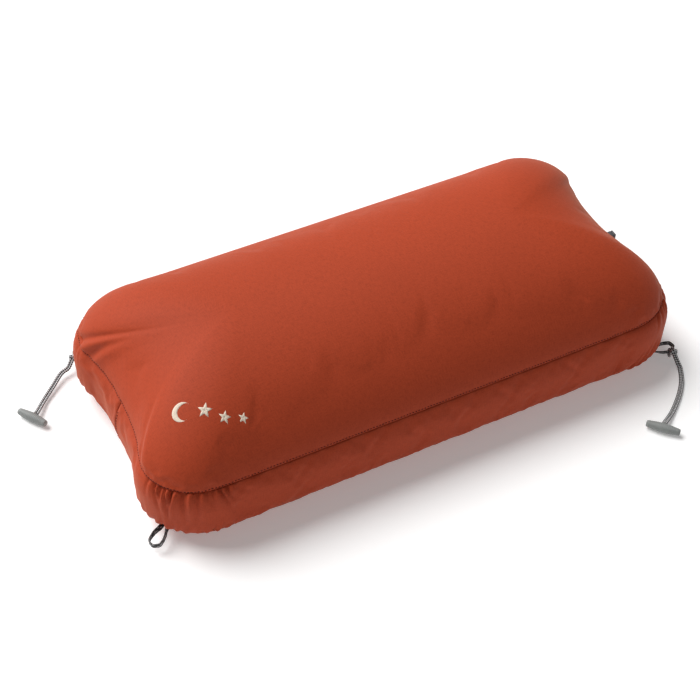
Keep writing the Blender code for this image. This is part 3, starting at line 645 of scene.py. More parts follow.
def make_tether(name, tether):
    route = curve_through(cord_route(tether), 0.0006)
    cord = tube("elastic_" + name, route, CORD_DIAMETER / 2)
    finish_piece(cord, None, paints["cord"], "cord", "cord_" + name)

    turning = Vector((*tether["toggle_turn"], TOGGLE_Z))
    points_to = heading(tether["toggle_points"])
    centre = turning + points_to * TOGGLE_STANDOFF
    along = heading(tether["toggle_points"] - 90)
    toggle = spun("toggle_body_" + name, toggle_profile(), 28, centre, along, (0, 0, 1))
    collar = spun("toggle_collar_" + name, COLLAR_PROFILE, 24, centre, points_to, (0, 0, 1))
    stretch = np.array([v.co for v in collar.data.vertices])
    middle = np.array(centre)
    sideways = np.array(along)
    stretch -= np.outer((stretch - middle) @ sideways, sideways) * COLLAR_NARROWING
    collar.data.vertices.foreach_set("co", stretch.ravel())
    body = name + "_toggle"
    finish_piece(toggle, body, paints["toggle"], "toggle_plastic", "toggle_" + name)
    finish_piece(collar, body, paints["toggle"], "toggle_plastic")
    knot_line = []
    for turn in np.linspace(0, 5.6, 9):
        bend = points_to * (0.0004 + 0.0010 * math.cos(turn)) + Vector((0, 0, 0.0009 * math.sin(turn)))
        knot_line.append(centre + bend)
    knot = tube("cord_end_" + name, curve_through(knot_line, 0.0004), CORD_DIAMETER * 0.45)
    finish_piece(knot, body, paints["cord"], "cord", "cord_knot_" + name)

    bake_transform(cord)


make_camera()
make_studio()
for side_name, side_tether in TETHERS.items():
    make_tether(side_name, side_tether)


# ---- the cover's grid ----


def plan(half_length, half_width, radius, pull):
    """The plan outline, anticlockwise from the middle of the left end, one point to a column."""
    cx, cy = half_length - radius, half_width - radius
    shares = np.arange(END_COLUMNS) / END_COLUMNS  # half an end
    whole = -1 + np.arange(2 * END_COLUMNS) / END_COLUMNS
    quarter = np.radians(90 * np.arange(ARC_COLUMNS) / ARC_COLUMNS)
    sweep = 1 - 2 * np.arange(SIDE_COLUMNS) / SIDE_COLUMNS

    def end(sign, s):
        return np.stack([sign * (half_length - pull * (1 - np.abs(s) ** END_CURVE)), s * cy], 1)

    def arc(x, y, first):
        turn = quarter + math.radians(first)
        return np.stack([x + radius * np.cos(turn), y + radius * np.sin(turn)], 1)

    def long_side(x, y):
        return np.stack([x * sweep, np.full(SIDE_COLUMNS, y)], 1)

    return np.vstack([
        end(-1, -shares), arc(-cx, -cy, 180), long_side(-cx, -half_width), arc(cx, -cy, 270),
        end(1, whole), arc(cx, cy, 0), long_side(cx, half_width), arc(-cx, cy, 90),
        end(-1, 1 - shares),
    ])


COLUMNS = 4 * END_COLUMNS + 4 * ARC_COLUMNS + 2 * SIDE_COLUMNS
MIRROR = (-np.arange(COLUMNS)) % COLUMNS


def softened(ring, passes=5):
    """The ring with its kinks eased, so that the drawn-in ends run smoothly into the corners."""
    for _ in range(passes):
        ring = (np.roll(ring, 1, 0) + 2 * ring + np.roll(ring, -1, 0)) / 4
    return ring


def ring_at(z, half_length, half_width, radius, pull):
    flat = softened(plan(half_length, half_width, radius, pull))
    return np.column_stack([flat, np.full(COLUMNS, z)])


def band_inset(z):
    """How far the band lies inside its widest line at height z."""
    up = (z - BAND_MIDDLE_Z) / (TOP_SEAM_Z - BAND_MIDDLE_Z)
    down = (BAND_MIDDLE_Z - z) / (BAND_MIDDLE_Z - BOTTOM_SEAM_Z)
    return SEAM_INSET * (up**2.8 if up > 0 else down**4.6)


def band_ring(z, inset=None):
    inset = band_inset(z) if inset is None else inset
    return ring_at(z, HALF_LENGTH - inset, HALF_WIDTH - inset, CORNER_RADIUS - inset, END_PULL)


def crown_grid():
    rows = []
    for k in range(CROWN_ROWS + 1):
        share = max(math.cos(math.pi / 2 * k / CROWN_ROWS), 0)
        reach = (HALF_WIDTH - SEAM_INSET) * share
        radius = CORNER_RADIUS * share**0.8 - SEAM_INSET * share
        z = TOP_SEAM_Z + (CROWN_HEIGHT - TOP_SEAM_Z) * (1 - share**2) ** (1 / CROWN_FULLNESS)
        rows.append(ring_at(z, HALF_LENGTH - HALF_WIDTH + reach, reach, radius, END_PULL * share))
    ridge = rows[-1]
    ridge[:, 1] = 0
    ridge[:, 0] = (ridge[:, 0] + ridge[MIRROR, 0]) / 2
    return np.array(rows)


def band_grid():
    levels = np.linspace(BOTTOM_SEAM_Z, TOP_SEAM_Z, BAND_ROWS + 1)
    return np.array([band_ring(z) for z in levels])


def base_grid():
    """From the middle of the base out to the bottom seam."""
    outer = []
    for k in range(6):
        inset = BASE_FLAT_INSET + (SEAM_INSET - BASE_FLAT_INSET) * k / 5
        share = (BASE_FLAT_INSET - inset) / (BASE_FLAT_INSET - SEAM_INSET)
        z = FLOOR_CLEARANCE + (BOTTOM_SEAM_Z - FLOOR_CLEARANCE) * (1 - math.sqrt(1 - share**2))
        outer.append(band_ring(z, inset))
    flat = band_ring(FLOOR_CLEARANCE, BASE_RING_INSET)
    line = flat.copy()
    line[:, 1] = 0
    line[:, 0] = np.clip(line[:, 0], -(HALF_LENGTH - HALF_WIDTH), HALF_LENGTH - HALF_WIDTH)
    line[:, 0] = (line[:, 0] + line[MIRROR, 0]) / 2
    inner = [line + (flat - line) * k / (BASE_ROWS - 6) for k in range(BASE_ROWS - 5)]
    return np.array(inner + outer)


def simulate(base, band, crown):
    """Inflate the whole cover as slack cloth, sewn down at its seams, and give back the moved grids."""
    whole = np.vstack([base, band[1:], crown[1:]])
    rows = len(whole)
    flat = np.round(whole.reshape(-1, 3), 6)
    unique, index = np.unique(flat, axis=0, return_inverse=True)
    index = np.asarray(index).ravel()
    faces = []
    for face in grid_faces(rows, COLUMNS):
        merged = list(dict.fromkeys(int(index[v]) for v in face))
        if len(merged) > 2:
            faces.append(merged)
    item = new_object("inflating", unique, faces)
    seams = [len(base) - 1, len(base) + len(band) - 2]
    held = set(index[: (len(base) - 6) * COLUMNS].tolist())
    for row in seams:
        held |= set(index[row * COLUMNS : (row + 1) * COLUMNS].tolist())
    group = item.vertex_groups.new(name="held")
    group.add(sorted(held), 1.0, "REPLACE")
    cloth = item.modifiers.new("cloth", "CLOTH")
    settings = cloth.settings
    settings.quality = 5
    settings.mass = 0.2
    settings.tension_stiffness = 20
    settings.compression_stiffness = 8
    settings.shear_stiffness = 5
    settings.bending_stiffness = 0.8
    settings.use_pressure = True
    settings.uniform_pressure_force = PRESSURE
    settings.shrink_min = SLACK
    settings.vertex_group_mass = "held"
    settings.effector_weights.gravity = 0
    for number in range(1, FRAMES + 1):
        scene.frame_set(number)
    shaped = item.evaluated_get(bpy.context.evaluated_depsgraph_get())
    moved = np.array([v.co for v in shaped.data.vertices], float)
    scene.frame_set(1)
    bpy.data.objects.remove(item, do_unlink=True)
    shift = (moved[index] - flat).reshape(rows, COLUMNS, 3)
    size = np.linalg.norm(shift, axis=2, keepdims=True)
    most = np.full((rows, 1, 1), MOST_BAND_MOVE)
    most[: len(base)] = MOST_BASE_MOVE
    most[len(base) + len(band) - 1 :] = MOST_CROWN_MOVE
    shift *= most / np.maximum(size + most, 1e-9)
    outward = normals_of(whole)
    inward = np.minimum((shift * outward).sum(2, keepdims=True) + MOST_INWARD_MOVE, 0)
    shift -= outward * inward
    result = whole + shift
    result[:, :, 2] = np.maximum(result[:, :, 2], FLOOR_CLEARANCE)
    cut_a, cut_b = len(base), len(base) + len(band) - 1
    return result[:cut_a], result[cut_a - 1 : cut_b], result[cut_b - 1 :]


def refine(grid, axis, closed):
    """REFINE times as many points along an axis, on smooth curves through the given ones."""
    g = np.moveaxis(grid, axis, 0)
    if closed:
        g = np.concatenate([g[-1:], g, g[:2]])
    else:
        g = np.concatenate([2 * g[:1] - g[1:2], g, 2 * g[-1:] - g[-2:-1]])
    a, b, c, d = g[:-3], g[1:-2], g[2:-1], g[3:]
    parts = [between(a, b, c, d, k / REFINE) for k in range(REFINE)]
    fine = np.stack(parts, 1).reshape(-1, *g.shape[1:])
    if not closed:
        fine = np.concatenate([fine, g[-2:-1]])
    return np.moveaxis(fine, 0, axis)


def normals_of(grid):
    """Outward normals of a closed band of a grid whose rows go up."""
    along = np.roll(grid, -1, 1) - np.roll(grid, 1, 1)
    up = np.gradient(grid, axis=0)
    normal = np.cross(along, up)
    size = np.linalg.norm(normal, axis=2, keepdims=True)
    return np.where(size > 1e-10, normal / np.maximum(size, 1e-12), (0, 0, 1.0))


def row_distance(grid, from_last):
    """Distance along each column from its first or last row."""
    step = np.linalg.norm(np.diff(grid, axis=0), axis=2)
    if from_last:
        total = np.cumsum(step[::-1], axis=0)[::-1]
        return np.vstack([total, np.zeros((1, grid.shape[1]))])
    return np.vstack([np.zeros((1, grid.shape[1])), np.cumsum(step, axis=0)])


# ---- puckers, pleats and folds ----

rng = np.random.default_rng(7)


def perimeter(grid_row):
    step = np.linalg.norm(np.roll(grid_row, -1, 0) - grid_row, axis=1)
    return np.concatenate([[0], np.cumsum(step)[:-1]]), float(step.sum())


def wrapped(difference, total):
    return (difference + total / 2) % total - total / 2


def corner_places(along):
    """Perimeter place of the middle of each corner."""
    fine = REFINE
    first = END_COLUMNS * fine
    arc, side, end = ARC_COLUMNS * fine, SIDE_COLUMNS * fine, 2 * END_COLUMNS * fine
    starts = [first, first + arc + side, first + 2 * arc + side + end, first + 3 * arc + 2 * side + end]
    return [float(along[start + arc // 2]) for start in starts]


def pleats(places, lengths, depths, widths, leans, along, total, down):
    """Sum of narrow valleys that run away from a seam, each with a soft ridge beside it."""
    shape = np.zeros(np.broadcast(along, down).shape)
    for place, length, depth, width, lean in zip(places, lengths, depths, widths, leans):
        across = wrapped(along - place - lean * down, total)
        near = np.abs(across) < 6 * width
        if not near.any():
            continue
        fade = np.exp(-((down / length) ** 2)) * (1 - 0.25 * np.exp(-((down / 0.0012) ** 2)))
        ridge = 0.62 * np.exp(-(((across - 2.0 * width) / (1.5 * width)) ** 2))
        valley = ridge - np.exp(-((across / width) ** 2))
        shape += np.where(near, depth * fade * valley, 0)
    return shape


def scatter(first, last, pitch, total):
    count = max(int(round((last - first) / pitch)), 1)
    places = first + (np.arange(count) + 0.5 + rng.uniform(-0.32, 0.32, count)) * (last - first) / count
    return places % total


def pleat_set(first, last, pitch, length, depth, width, lean, along, total, down):
    places = scatter(first, last, pitch, total)
    n = len(places)
    return pleats(
        places, length * rng.uniform(0.55, 1.35, n), depth * rng.uniform(0.45, 1.25, n),
        width * rng.uniform(0.8, 1.3, n), lean + rng.uniform(-0.25, 0.25, n), along, total, down,
    )


def smooth_noise(along, total, pitch, seed):
    """Gentle irregular waves along a seam."""
    local = np.random.default_rng(seed)
    count = max(int(total / pitch), 4)
    values = local.normal(0, 1, count)
    place = (along / total * count) % count
    low = np.floor(place).astype(int)
    share = ease(place - low, 0, 1)
    return values[low % count] * (1 - share) + values[(low + 1) % count] * share


def seam_groove(distance, depth, width):
    return -depth * np.exp(-((distance / width) ** 2))


def dress(base, band, crown):
    """Add the sewn detail to the fine grids: grooves at the seams, pleats at corners, faint waves."""
    along, total = perimeter(band[-1])
    low_along, low_total = perimeter(band[0])
    corners = corner_places(along)
    low_corners = corner_places(low_along)
    front_left, front_right, back_right, back_left = corners
    top_down, low_up = row_distance(band, True), row_distance(band, False)
    A, L = along[None, :], low_along[None, :]

    shift = seam_groove(top_down, 0.0004, 0.0014) + seam_groove(low_up, 0.0007, 0.0018)
    # Each set: first and last place, pitch, length, depth, width and lean.
    for pleating in (
        (front_left - 0.020, front_left + 0.036, 0.0048, 0.0125, 0.0026, 0.0010, 0.10),
        (front_right - 0.012, front_right + 0.034, 0.0054, 0.0110, 0.0015, 0.0010, -0.15),
        (back_right - 0.030, back_right + 0.030, 0.0055, 0.0090, 0.0006, 0.0009, 0.10),
        (back_left - 0.034, back_left + 0.030, 0.0060, 0.0100, 0.0006, 0.0010, 0.10),
    ):
        shift += pleat_set(*pleating, A, total, top_down)
    for centre, reach in zip(low_corners, (0.036, 0.050, 0.036, 0.036)):
        pleating = (centre - reach, centre + reach, 0.0058, 0.0110, 0.0017, 0.0011, 0.25)
        shift += pleat_set(*pleating, L, low_total, low_up)
    shift += pleat_set(0, total, 0.021, 0.0075, 0.00022, 0.0011, 0.0, A, total, top_down)
    shift += pleat_set(0, low_total, 0.017, 0.0090, 0.00032, 0.0012, 0.1, L, low_total, low_up)
    ripple = smooth_noise(along, total, 0.0042, 1)[None, :] * np.exp(-top_down / 0.0035) * 0.00011
    low_ripple = smooth_noise(low_along, low_total, 0.0050, 2)[None, :] * np.exp(-low_up / 0.0045) * 0.00018
    shift += ripple + low_ripple
    for seam in (0.0, float(along[join_column_fine()])):
        across = np.abs(wrapped(A - seam, total))
        ridge = 0.00028 * np.exp(-(((across - 0.0026) / 0.0016) ** 2))
        shift += -0.00055 * np.exp(-((across / 0.0011) ** 2)) + ridge
    # Broad upright creases in the front band.
    for place, depth, width in (
        (front_left + 0.060, 0.0005, 0.0040),
        (front_right - 0.062, 0.0007, 0.0035),
        (front_right - 0.048, 0.0005, 0.0030),
    ):
        across = wrapped(A - place - 0.15 * low_up, total)
        shift += -depth * np.exp(-((across / width) ** 2)) * np.exp(-((low_up - 0.010) / 0.014) ** 2)
    band = band + normals_of(band) * shift[..., None]

    crown_down = row_distance(crown, False)
    rise = seam_groove(crown_down, 0.0002, 0.0012)
    rise += pleat_set(0, total, 0.018, 0.0060, 0.00012, 0.0010, 0.0, A, total, crown_down)
    for centre in corners:
        pleating = (centre - 0.026, centre + 0.026, 0.0062, 0.0055, 0.00020, 0.0010, 0.0)
        rise += pleat_set(*pleating, A, total, crown_down)
    rise += smooth_noise(along, total, 0.0050, 3)[None, :] * np.exp(-crown_down / 0.0040) * 0.00010
    # Soft folds that run from the corners up the crown.
    for place, lean, depth, width, reach in (
        (back_left + 0.020, 0.55, 0.0022, 0.0042, 0.034),
        (back_left + 0.036, 0.35, 0.0017, 0.0040, 0.028),
        (front_left - 0.030, -0.40, 0.0012, 0.0048, 0.030),
        (front_right + 0.034, 0.35, 0.0008, 0.0042, 0.026),
        (back_right - 0.032, -0.35, 0.0008, 0.0042, 0.026),
    ):
        across = wrapped(A - place - lean * crown_down, total)
        ridge = 0.8 * np.exp(-(((across - 1.9 * width) / (1.3 * width)) ** 2))
        fold = ridge - np.exp(-((across / width) ** 2))
        rise += depth * fold * np.exp(-((crown_down / reach) ** 2)) * ease(crown_down, 0.0, 0.004)
    crown = crown + normals_of(crown) * rise[..., None]

    base_out = row_distance(base, True)
    sink = seam_groove(base_out, 0.0006, 0.0016)
    sink += pleat_set(0, low_total, 0.010, 0.0090, 0.00030, 0.0011, 0.0, L, low_total, base_out)
    base = base + normals_of(base) * sink[..., None]
    base[..., 2] = np.maximum(base[..., 2], FLOOR_CLEARANCE)
    # The panels meet along one line at each seam.
    band[-1] = (band[-1] + crown[0]) / 2
    crown[0] = band[-1]
    band[0] = (band[0] + base[-1]) / 2
    base[-1] = band[0]
    return base, band, crown


def join_column_fine():
    """Fine column of the right-hand join between the two bands, on the straight end."""
    right_end = END_COLUMNS + 2 * ARC_COLUMNS + SIDE_COLUMNS
    return (right_end + END_COLUMNS + END_COLUMNS // 2) * REFINE


# ---- the cover's panels ----


def panel(name, grid, uv, seam_distance, closed=True, skip=None):
    """One panel as a mesh, with its cloth coordinates and how near each point is to a seam."""
    rows, columns = grid.shape[:2]
    item = new_object(name, grid.reshape(-1, 3), grid_faces(rows, columns, closed, skip))
    mesh = item.data
    layer = mesh.uv_layers.new(name=WEAVE)
    vertex_of = np.zeros(len(mesh.loops), int)
    mesh.loops.foreach_get("vertex_index", vertex_of)
    layer.data.foreach_set("uv", uv.reshape(-1, 2)[vertex_of].ravel())
    # This attribute is the mask of the painted shade along the seams, strongest right at a seam.
    near = mesh.attributes.new("seam_shade_mask", "FLOAT", "POINT")
    near.data.foreach_set("value", np.exp(-seam_distance / 0.0011).ravel())
    cleaner = bmesh.new()
    cleaner.from_mesh(mesh)
    bmesh.ops.remove_doubles(cleaner, verts=cleaner.verts, dist=1e-6)
    loose = [v for v in cleaner.verts if not v.link_faces]
    bmesh.ops.delete(cleaner, geom=loose, context="VERTS")
    cleaner.to_mesh(mesh)
    cleaner.free()
    mesh.shade_smooth()
    return item


def thickness(item, amount=0.0005):
    modifier = item.modifiers.new("thickness", "SOLIDIFY")
    modifier.thickness = amount
    modifier.offset = -1


def unrolled(crown):
    """Cloth coordinates of the crown: straight out from the ridge line, at the cloth's own length."""
    ridge = crown[-1, :, :2]
    down = row_distance(crown, True)
    away = crown[0, :, :2] - ridge
    away = away / np.maximum(np.linalg.norm(away, axis=1, keepdims=True), 1e-9)
    return ridge[None] + away[None] * down[..., None]


def face_centres(grid):
    """X, y and z of the middle of each face of a closed grid."""
    centre = (grid[:-1, :] + grid[1:, :]) / 2
    centre = (centre + np.roll(centre, -1, 1)) / 2
    return centre[..., 0], centre[..., 1], centre[..., 2]


def zip_reach():
    """Half the length of the zip's opening."""
    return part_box("zip_tape_upper")[1].x - ZIP_TAPE_OVERLAP


def zip_window(band):
    """Faces of the band that lie in the zip's opening, at the back."""
    x, y, z = face_centres(band)
    top, bottom = BAND_MIDDLE_Z + ZIP_HALF_HEIGHT, BAND_MIDDLE_Z - ZIP_HALF_HEIGHT
    return (np.abs(x) < zip_reach()) & (z < top) & (z > bottom) & (y > 0)


def valve_place():
    low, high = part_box("valve_base")
    return Vector((low.x + VALVE_FLANGE_DEPTH, (low.y + high.y) / 2, (low.z + high.z) / 2))


def valve_hole(band):
    """Faces of the band that the valve's neck goes through, on the right end."""
    x, y, z = face_centres(band)
    place = valve_place()
    return (np.hypot(y - place.y, z - place.z) < VALVE_HOLE_RADIUS) & (x > 0)


base, band, crown = base_grid(), band_grid(), crown_grid()
base, band, crown = simulate(base, band, crown)
smoothed_crown = crown
base, band, crown = (refine(refine(g, 0, False), 1, True) for g in (base, band, crown))
base, band, crown = dress(base, band, crown)

# The layers under the crown, each at its depth below it.
for sheet, depth, thick, paint, slot, node in (
    ("wadding_layer", 0.0026, 0.0020, "wadding", "wadding", "wadding_sheet"),
    ("lining_layer", 0.0049, 0.0003, "lining", "lining_fabric", "wadding_lining"),
):
    below = smoothed_crown - normals_of(smoothed_crown) * depth
    below[0] = below[1] * 0.15 + below[0] * 0.85
    layer = panel(sheet, below, unrolled(below), row_distance(below, False))
    thickness(layer, thick)
    finish_piece(layer, "pillow", paints[paint], slot, node)

run, run_total = perimeter(band[-1])
band_uv = np.stack(np.broadcast_arrays(run[None, :], row_distance(band, False)), 2)
band_seam = np.minimum(row_distance(band, True), row_distance(band, False))
top = panel("cover_top", crown, unrolled(crown), row_distance(crown, False))
finish_piece(top, "pillow", paints["cover"], "cover_fabric", "cover_top_panel")
bottom = panel("cover_bottom", base, base[..., :2].copy(), row_distance(base, True))
finish_piece(bottom, "pillow", paints["cover"], "cover_fabric", "cover_bottom_panel")
join = join_column_fine()
hole = valve_hole(band)
window = zip_window(band)
front_columns = np.arange(0, join + 1)
back_columns = np.arange(join, band.shape[1] + 1) % band.shape[1]
for panel_name, columns, cut, node in (
    ("band_front", front_columns, hole, "side_band_front"),
    ("band_back", back_columns, window, "side_band_back"),
):
    uv = band_uv[:, columns].copy()
    if panel_name == "band_back":
        uv[:, -1, 0] = run_total
    strip = panel(panel_name, band[:, columns], uv, band_seam[:, columns], closed=False, skip=cut[:, columns])
    thickness(strip)
    finish_piece(strip, "pillow", paints["cover"], "cover_fabric", node)


# ---- stitches ----


def resampled(line, spacing, closed=True):
    points = np.vstack([line, line[:1]]) if closed else line
    along = lengths_along(points)
    wanted = np.arange(0, along[-1] - spacing / 2, spacing)
    return np.stack([np.interp(wanted, along, points[:, k]) for k in range(3)], 1)


# One stitch, from end to end: (place along it, thickness, height over the cloth).
STITCH_PROFILE = (
    (-0.5, 0.25, -0.6), (-0.38, 0.9, 0.1), (-0.12, 1.0, 0.55),
    (0.12, 1.0, 0.55), (0.38, 0.9, 0.1), (0.5, 0.25, -0.6),
)


def stitches(name, line, outward, closed=True, pitch=STITCH_PITCH):
    """A row of short thread bars, each dipping into the cloth at both ends."""
    centres = resampled(line, pitch, closed)
    ahead = np.roll(centres, -1, 0) - np.roll(centres, 1, 0)
    if not closed:
        ahead[0], ahead[-1] = centres[1] - centres[0], centres[-1] - centres[-2]
    ahead /= np.linalg.norm(ahead, axis=1)[:, None]
    nearest = [int(np.argmin(((line - c) ** 2).sum(1))) for c in centres]
    normal = outward[nearest]
    normal = normal - ahead * (normal * ahead).sum(1)[:, None]
    normal /= np.linalg.norm(normal, axis=1)[:, None]
    side = np.cross(ahead, normal)
    quads = grid_faces(len(STITCH_PROFILE), 6)
    points, faces = [], []
    for centre, a, n, s in zip(centres, ahead, normal, side):
        faces += [tuple(v + len(points) for v in quad) for quad in quads]
        for place, size, lift in STITCH_PROFILE:
            for k in range(6):
                turn = math.tau * k / 6
                points.append(
                    centre + a * STITCH_LENGTH * place
                    + n * STITCH_RADIUS * (lift + 0.8 * size * math.sin(turn))
                    + s * STITCH_RADIUS * size * math.cos(turn)
                )
    item = new_object(name, points, faces)
    finish_piece(item, "pillow", paints["stitch"], "cover_fabric")


crown_normals, band_normals = normals_of(crown), normals_of(band)


def row_near(distances, wanted):
    """Row of a fine grid that lies about that far from its seam."""
    return int(np.argmin(np.abs(distances.mean(1) - wanted)))


top_row = row_near(row_distance(crown, False), 0.0013)
stitches("stitches_top", crown[top_row], crown_normals[top_row])
low_row = row_near(row_distance(band, False), 0.0012)
stitches("stitches_bottom", band[low_row], band_normals[low_row], pitch=0.0024)
for label, column in (("left", 2), ("right", join + 2)):
    line = band[3:-3, column]
    stitches("stitches_join_" + label, line, band_normals[3:-3, column], closed=False, pitch=0.0024)


# ---- printed mark: a moon and three stars ----

MARK_PLACE = Vector((-0.1385, -0.0585))
MARK_TURN = math.radians(-31)


def on_crown(shapes, name, material, lift=0.00001):
    """Flat shapes laid on the crown. Each is a grid of points (rows of equal length)."""
    tree = search_tree(top.data)
    points, faces = [], []
    for rows in shapes:
        quads = grid_faces(len(rows), len(rows[0]), closed=False)
        faces += [tuple(v + len(points) for v in quad) for quad in quads]
        for u, v in (place for row in rows for place in row):
            x = MARK_PLACE.x + u * math.cos(MARK_TURN) - v * math.sin(MARK_TURN)
            y = MARK_PLACE.y + u * math.sin(MARK_TURN) + v * math.cos(MARK_TURN)
            hit, normal, _, _ = tree.ray_cast(Vector((x, y, 0.2)), Vector((0, 0, -1)))
            points.append(hit + normal * lift)
    item = new_object(name, points, faces)
    modifier = item.modifiers.new("ink", "SOLIDIFY")
    modifier.thickness = 0.00004
    modifier.offset = 0
    finish_piece(item, "pillow", material, "cover_fabric")


def moon(u, v, radius):
    """A crescent, as strips between its two arcs."""
    rows = []
    for k in range(29):
        turn = math.radians(48 + 264 * k / 28)
        outer = (radius * math.cos(turn), radius * math.sin(turn))
        share = math.sin(math.pi * k / 28)
        inner = (outer[0] + radius * 0.62 * share * 0.9, outer[1] * (1 - 0.30 * share))
        rows.append([
            (u + outer[0] + (inner[0] - outer[0]) * t, v + outer[1] + (inner[1] - outer[1]) * t)
            for t in (0, 0.33, 0.67, 1)
        ])
    return rows


def star(u, v, radius):
    """A five-pointed star, as a fan of thin quads round its middle."""
    rows = []
    for k in range(41):
        turn = math.tau * k / 40 + 0.3
        point = abs((k % 8) / 4 - 1)  # 1 at a point of the star, 0 in a notch
        reach = 1 / (point / radius + (1 - point) / (0.42 * radius))
        rows.append([
            (u + reach * t * math.cos(turn), v + reach * t * math.sin(turn)) for t in (0.05, 0.5, 1)
        ])
    return rows


MARK = [
    moon(-0.0175, 0.0, 0.0058), star(-0.0035, 0.0010, 0.0046),
    star(0.0085, -0.0012, 0.0038), star(0.0192, 0.0010, 0.0031),
]
on_crown(MARK, "printed_mark", paints["mark"])


# ---- tape loops ----


def make_loop(name):
    """Narrow tape folded into a teardrop, its two ends side by side in the bottom seam."""
    root, ahead, across = loop_frame(name)
    height = Vector((0, 0, LOOP_Z))
    wide, tip = LOOP_WIDTH / 2 - 0.0007, LOOP_LENGTH - 0.0006
    # (ahead, across, lean of the tape in radians)
    sketch = [
        (-0.0030, 0.0021, 0.9), (0.0008, 0.0024, 0.7), (0.0045, 0.0036, 0.45), (0.0085, wide, 0.25),
        (0.0122, wide * 0.93, 0.1), (tip - 0.0008, wide * 0.50, 0.0), (tip, 0.0, 0.0),
        (tip - 0.0008, -wide * 0.50, 0.0), (0.0122, -wide * 0.93, -0.05), (0.0085, -wide, -0.1),
        (0.0045, -0.0034, -0.2), (0.0008, -0.0022, -0.3), (-0.0030, -0.0019, -0.35),
    ]
    line = curve_through([root + ahead * a + across * b + height for a, b, _ in sketch], 0.0007)
    lean = np.interp(np.linspace(0, 1, len(line)), np.linspace(0, 1, len(sketch)), [c for _, _, c in sketch])
    ahead_line = np.gradient(line, axis=0)
    ahead_line /= np.linalg.norm(ahead_line, axis=1)[:, None]
    up = np.array((0, 0, 1.0))
    out = np.cross(ahead_line, up)
    out /= np.linalg.norm(out, axis=1)[:, None]
    breadth = up * np.cos(lean)[:, None] + out * np.sin(lean)[:, None]
    thick = np.cross(breadth, ahead_line)
    length = lengths_along(line)
    across_shares = np.array((-1, -0.92, -0.5, 0, 0.5, 0.92, 1))
    bulge = np.array((0.55, 1, 1, 1, 1, 1, 0.55))
    ring_w = np.concatenate([across_shares, across_shares[::-1]]) * TAPE_WIDTH / 2
    ring_t = np.concatenate([bulge, -bulge[::-1]]) * TAPE_THICKNESS / 2
    points = line[:, None] + breadth[:, None] * ring_w[None, :, None] + thick[:, None] * ring_t[None, :, None]
    count = len(ring_w)
    faces = grid_faces(len(line), count)
    faces.append(tuple(range(count)))
    faces.append(tuple(reversed(range((len(line) - 1) * count, len(line) * count))))
    item = new_object("tape_" + name, points.reshape(-1, 3), faces)
    layer = item.data.uv_layers.new(name=WEAVE)
    for corner, data in zip(item.data.loops, layer.data):
        row, place = divmod(corner.vertex_index, count)
        data.uv = (length[row], ring_w[place] + (0.02 if place >= count // 2 else 0))
    finish_piece(item, "pillow", paints["tape"], "loop_tape", "loop_" + name)


for loop_name in LOOPS:
    make_loop(loop_name)


# ---- zip ----


def rounded_bar(centre, half, axes):
    """Points and faces of a small bar with its ends drawn in."""
    points = []
    for place, size in ((-1, 0.55), (-0.7, 1), (0.7, 1), (1, 0.55)):
        for k in range(8):
            turn = math.tau * (k + 0.5) / 8
            points.append(
                centre + axes[0] * half[0] * place
                + axes[1] * half[1] * size * math.cos(turn)
                + axes[2] * half[2] * size * math.sin(turn)
            )
    return points, capped_faces(4, 8)


def walk_round(corners, spacing):
    """Points along each side in turn of the closed line through the corners."""
    walk = []
    for a, b in zip(corners, corners[1:] + corners[:1]):
        steps = max(int(np.linalg.norm(b - a) / spacing), 2)
        walk += [a + (b - a) * k / steps for k in range(steps)]
    return walk


def make_zip():
    """Two rows of coil teeth on ribbed tapes. The metal pieces stay as the CAD has them."""
    for name, side in (("upper", 1), ("lower", -1)):
        low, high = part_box("zip_teeth_" + name)
        points, faces = [], []
        pitch = 0.0013
        count = int((high.x - low.x) / pitch)
        axes = (Vector((0, 0, 1)), Vector((1, 0, 0)), Vector((0, 1, 0)))
        half = ((high.z - low.z) / 2, pitch * 0.34, (high.y - low.y) / 2)
        for k in range(count):
            x = low.x + pitch * (k + (0.5 if side > 0 else 0.0)) + pitch * 0.25
            more, quads = rounded_bar(Vector((x, (low.y + high.y) / 2, (low.z + high.z) / 2)), half, axes)
            faces += [tuple(v + len(points) for v in quad) for quad in quads]
            points += more
        coil = new_object("zip_coil_" + name, points, faces)
        finish_piece(coil, "pillow", paints["zip_teeth"], "zip_plastic", "zip_teeth_" + name)

        low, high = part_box("zip_tape_" + name)
        columns = np.linspace(low.x, high.x, 500)
        rows = np.linspace(low.z, high.z, 14)
        ribs = 0.00006 * np.sin(columns * math.tau / 0.0016)[None, :]
        ribs = ribs + 0.00005 * np.sin(rows * math.tau / 0.0012)[:, None]
        grid = np.stack(np.broadcast_arrays(columns[None, :], high.y - 0.0001 + ribs, rows[:, None]), 2)
        far_from_seams = np.full(grid.shape[:2], 1.0)
        weave = panel("zip_weave_" + name, grid, grid[..., (0, 2)].copy(), far_from_seams, closed=False)
        thickness(weave, 0.0004)
        weave.modifiers["thickness"].offset = 1
        finish_piece(weave, "pillow", paints["zip_tape"], "zip_tape", "zip_tape_" + name)

    reach, half_height = zip_reach() + ZIP_STITCHES_OUT, ZIP_HALF_HEIGHT + ZIP_STITCHES_OUT
    walk = np.array(walk_round([np.array((x * reach, z * half_height)) for x, z in SQUARE], 0.001))
    inset = np.array([band_inset(BAND_MIDDLE_Z + z) for _, z in walk])
    line = np.column_stack([walk[:, 0], HALF_WIDTH - inset, BAND_MIDDLE_Z + walk[:, 1]])
    stuck = stick_to_band(line, Vector((0, -1, 0)))
    stitches("stitches_zip", stuck, np.tile((0, 1.0, 0), (len(line), 1)), pitch=0.0022)
    make_zip_binding()


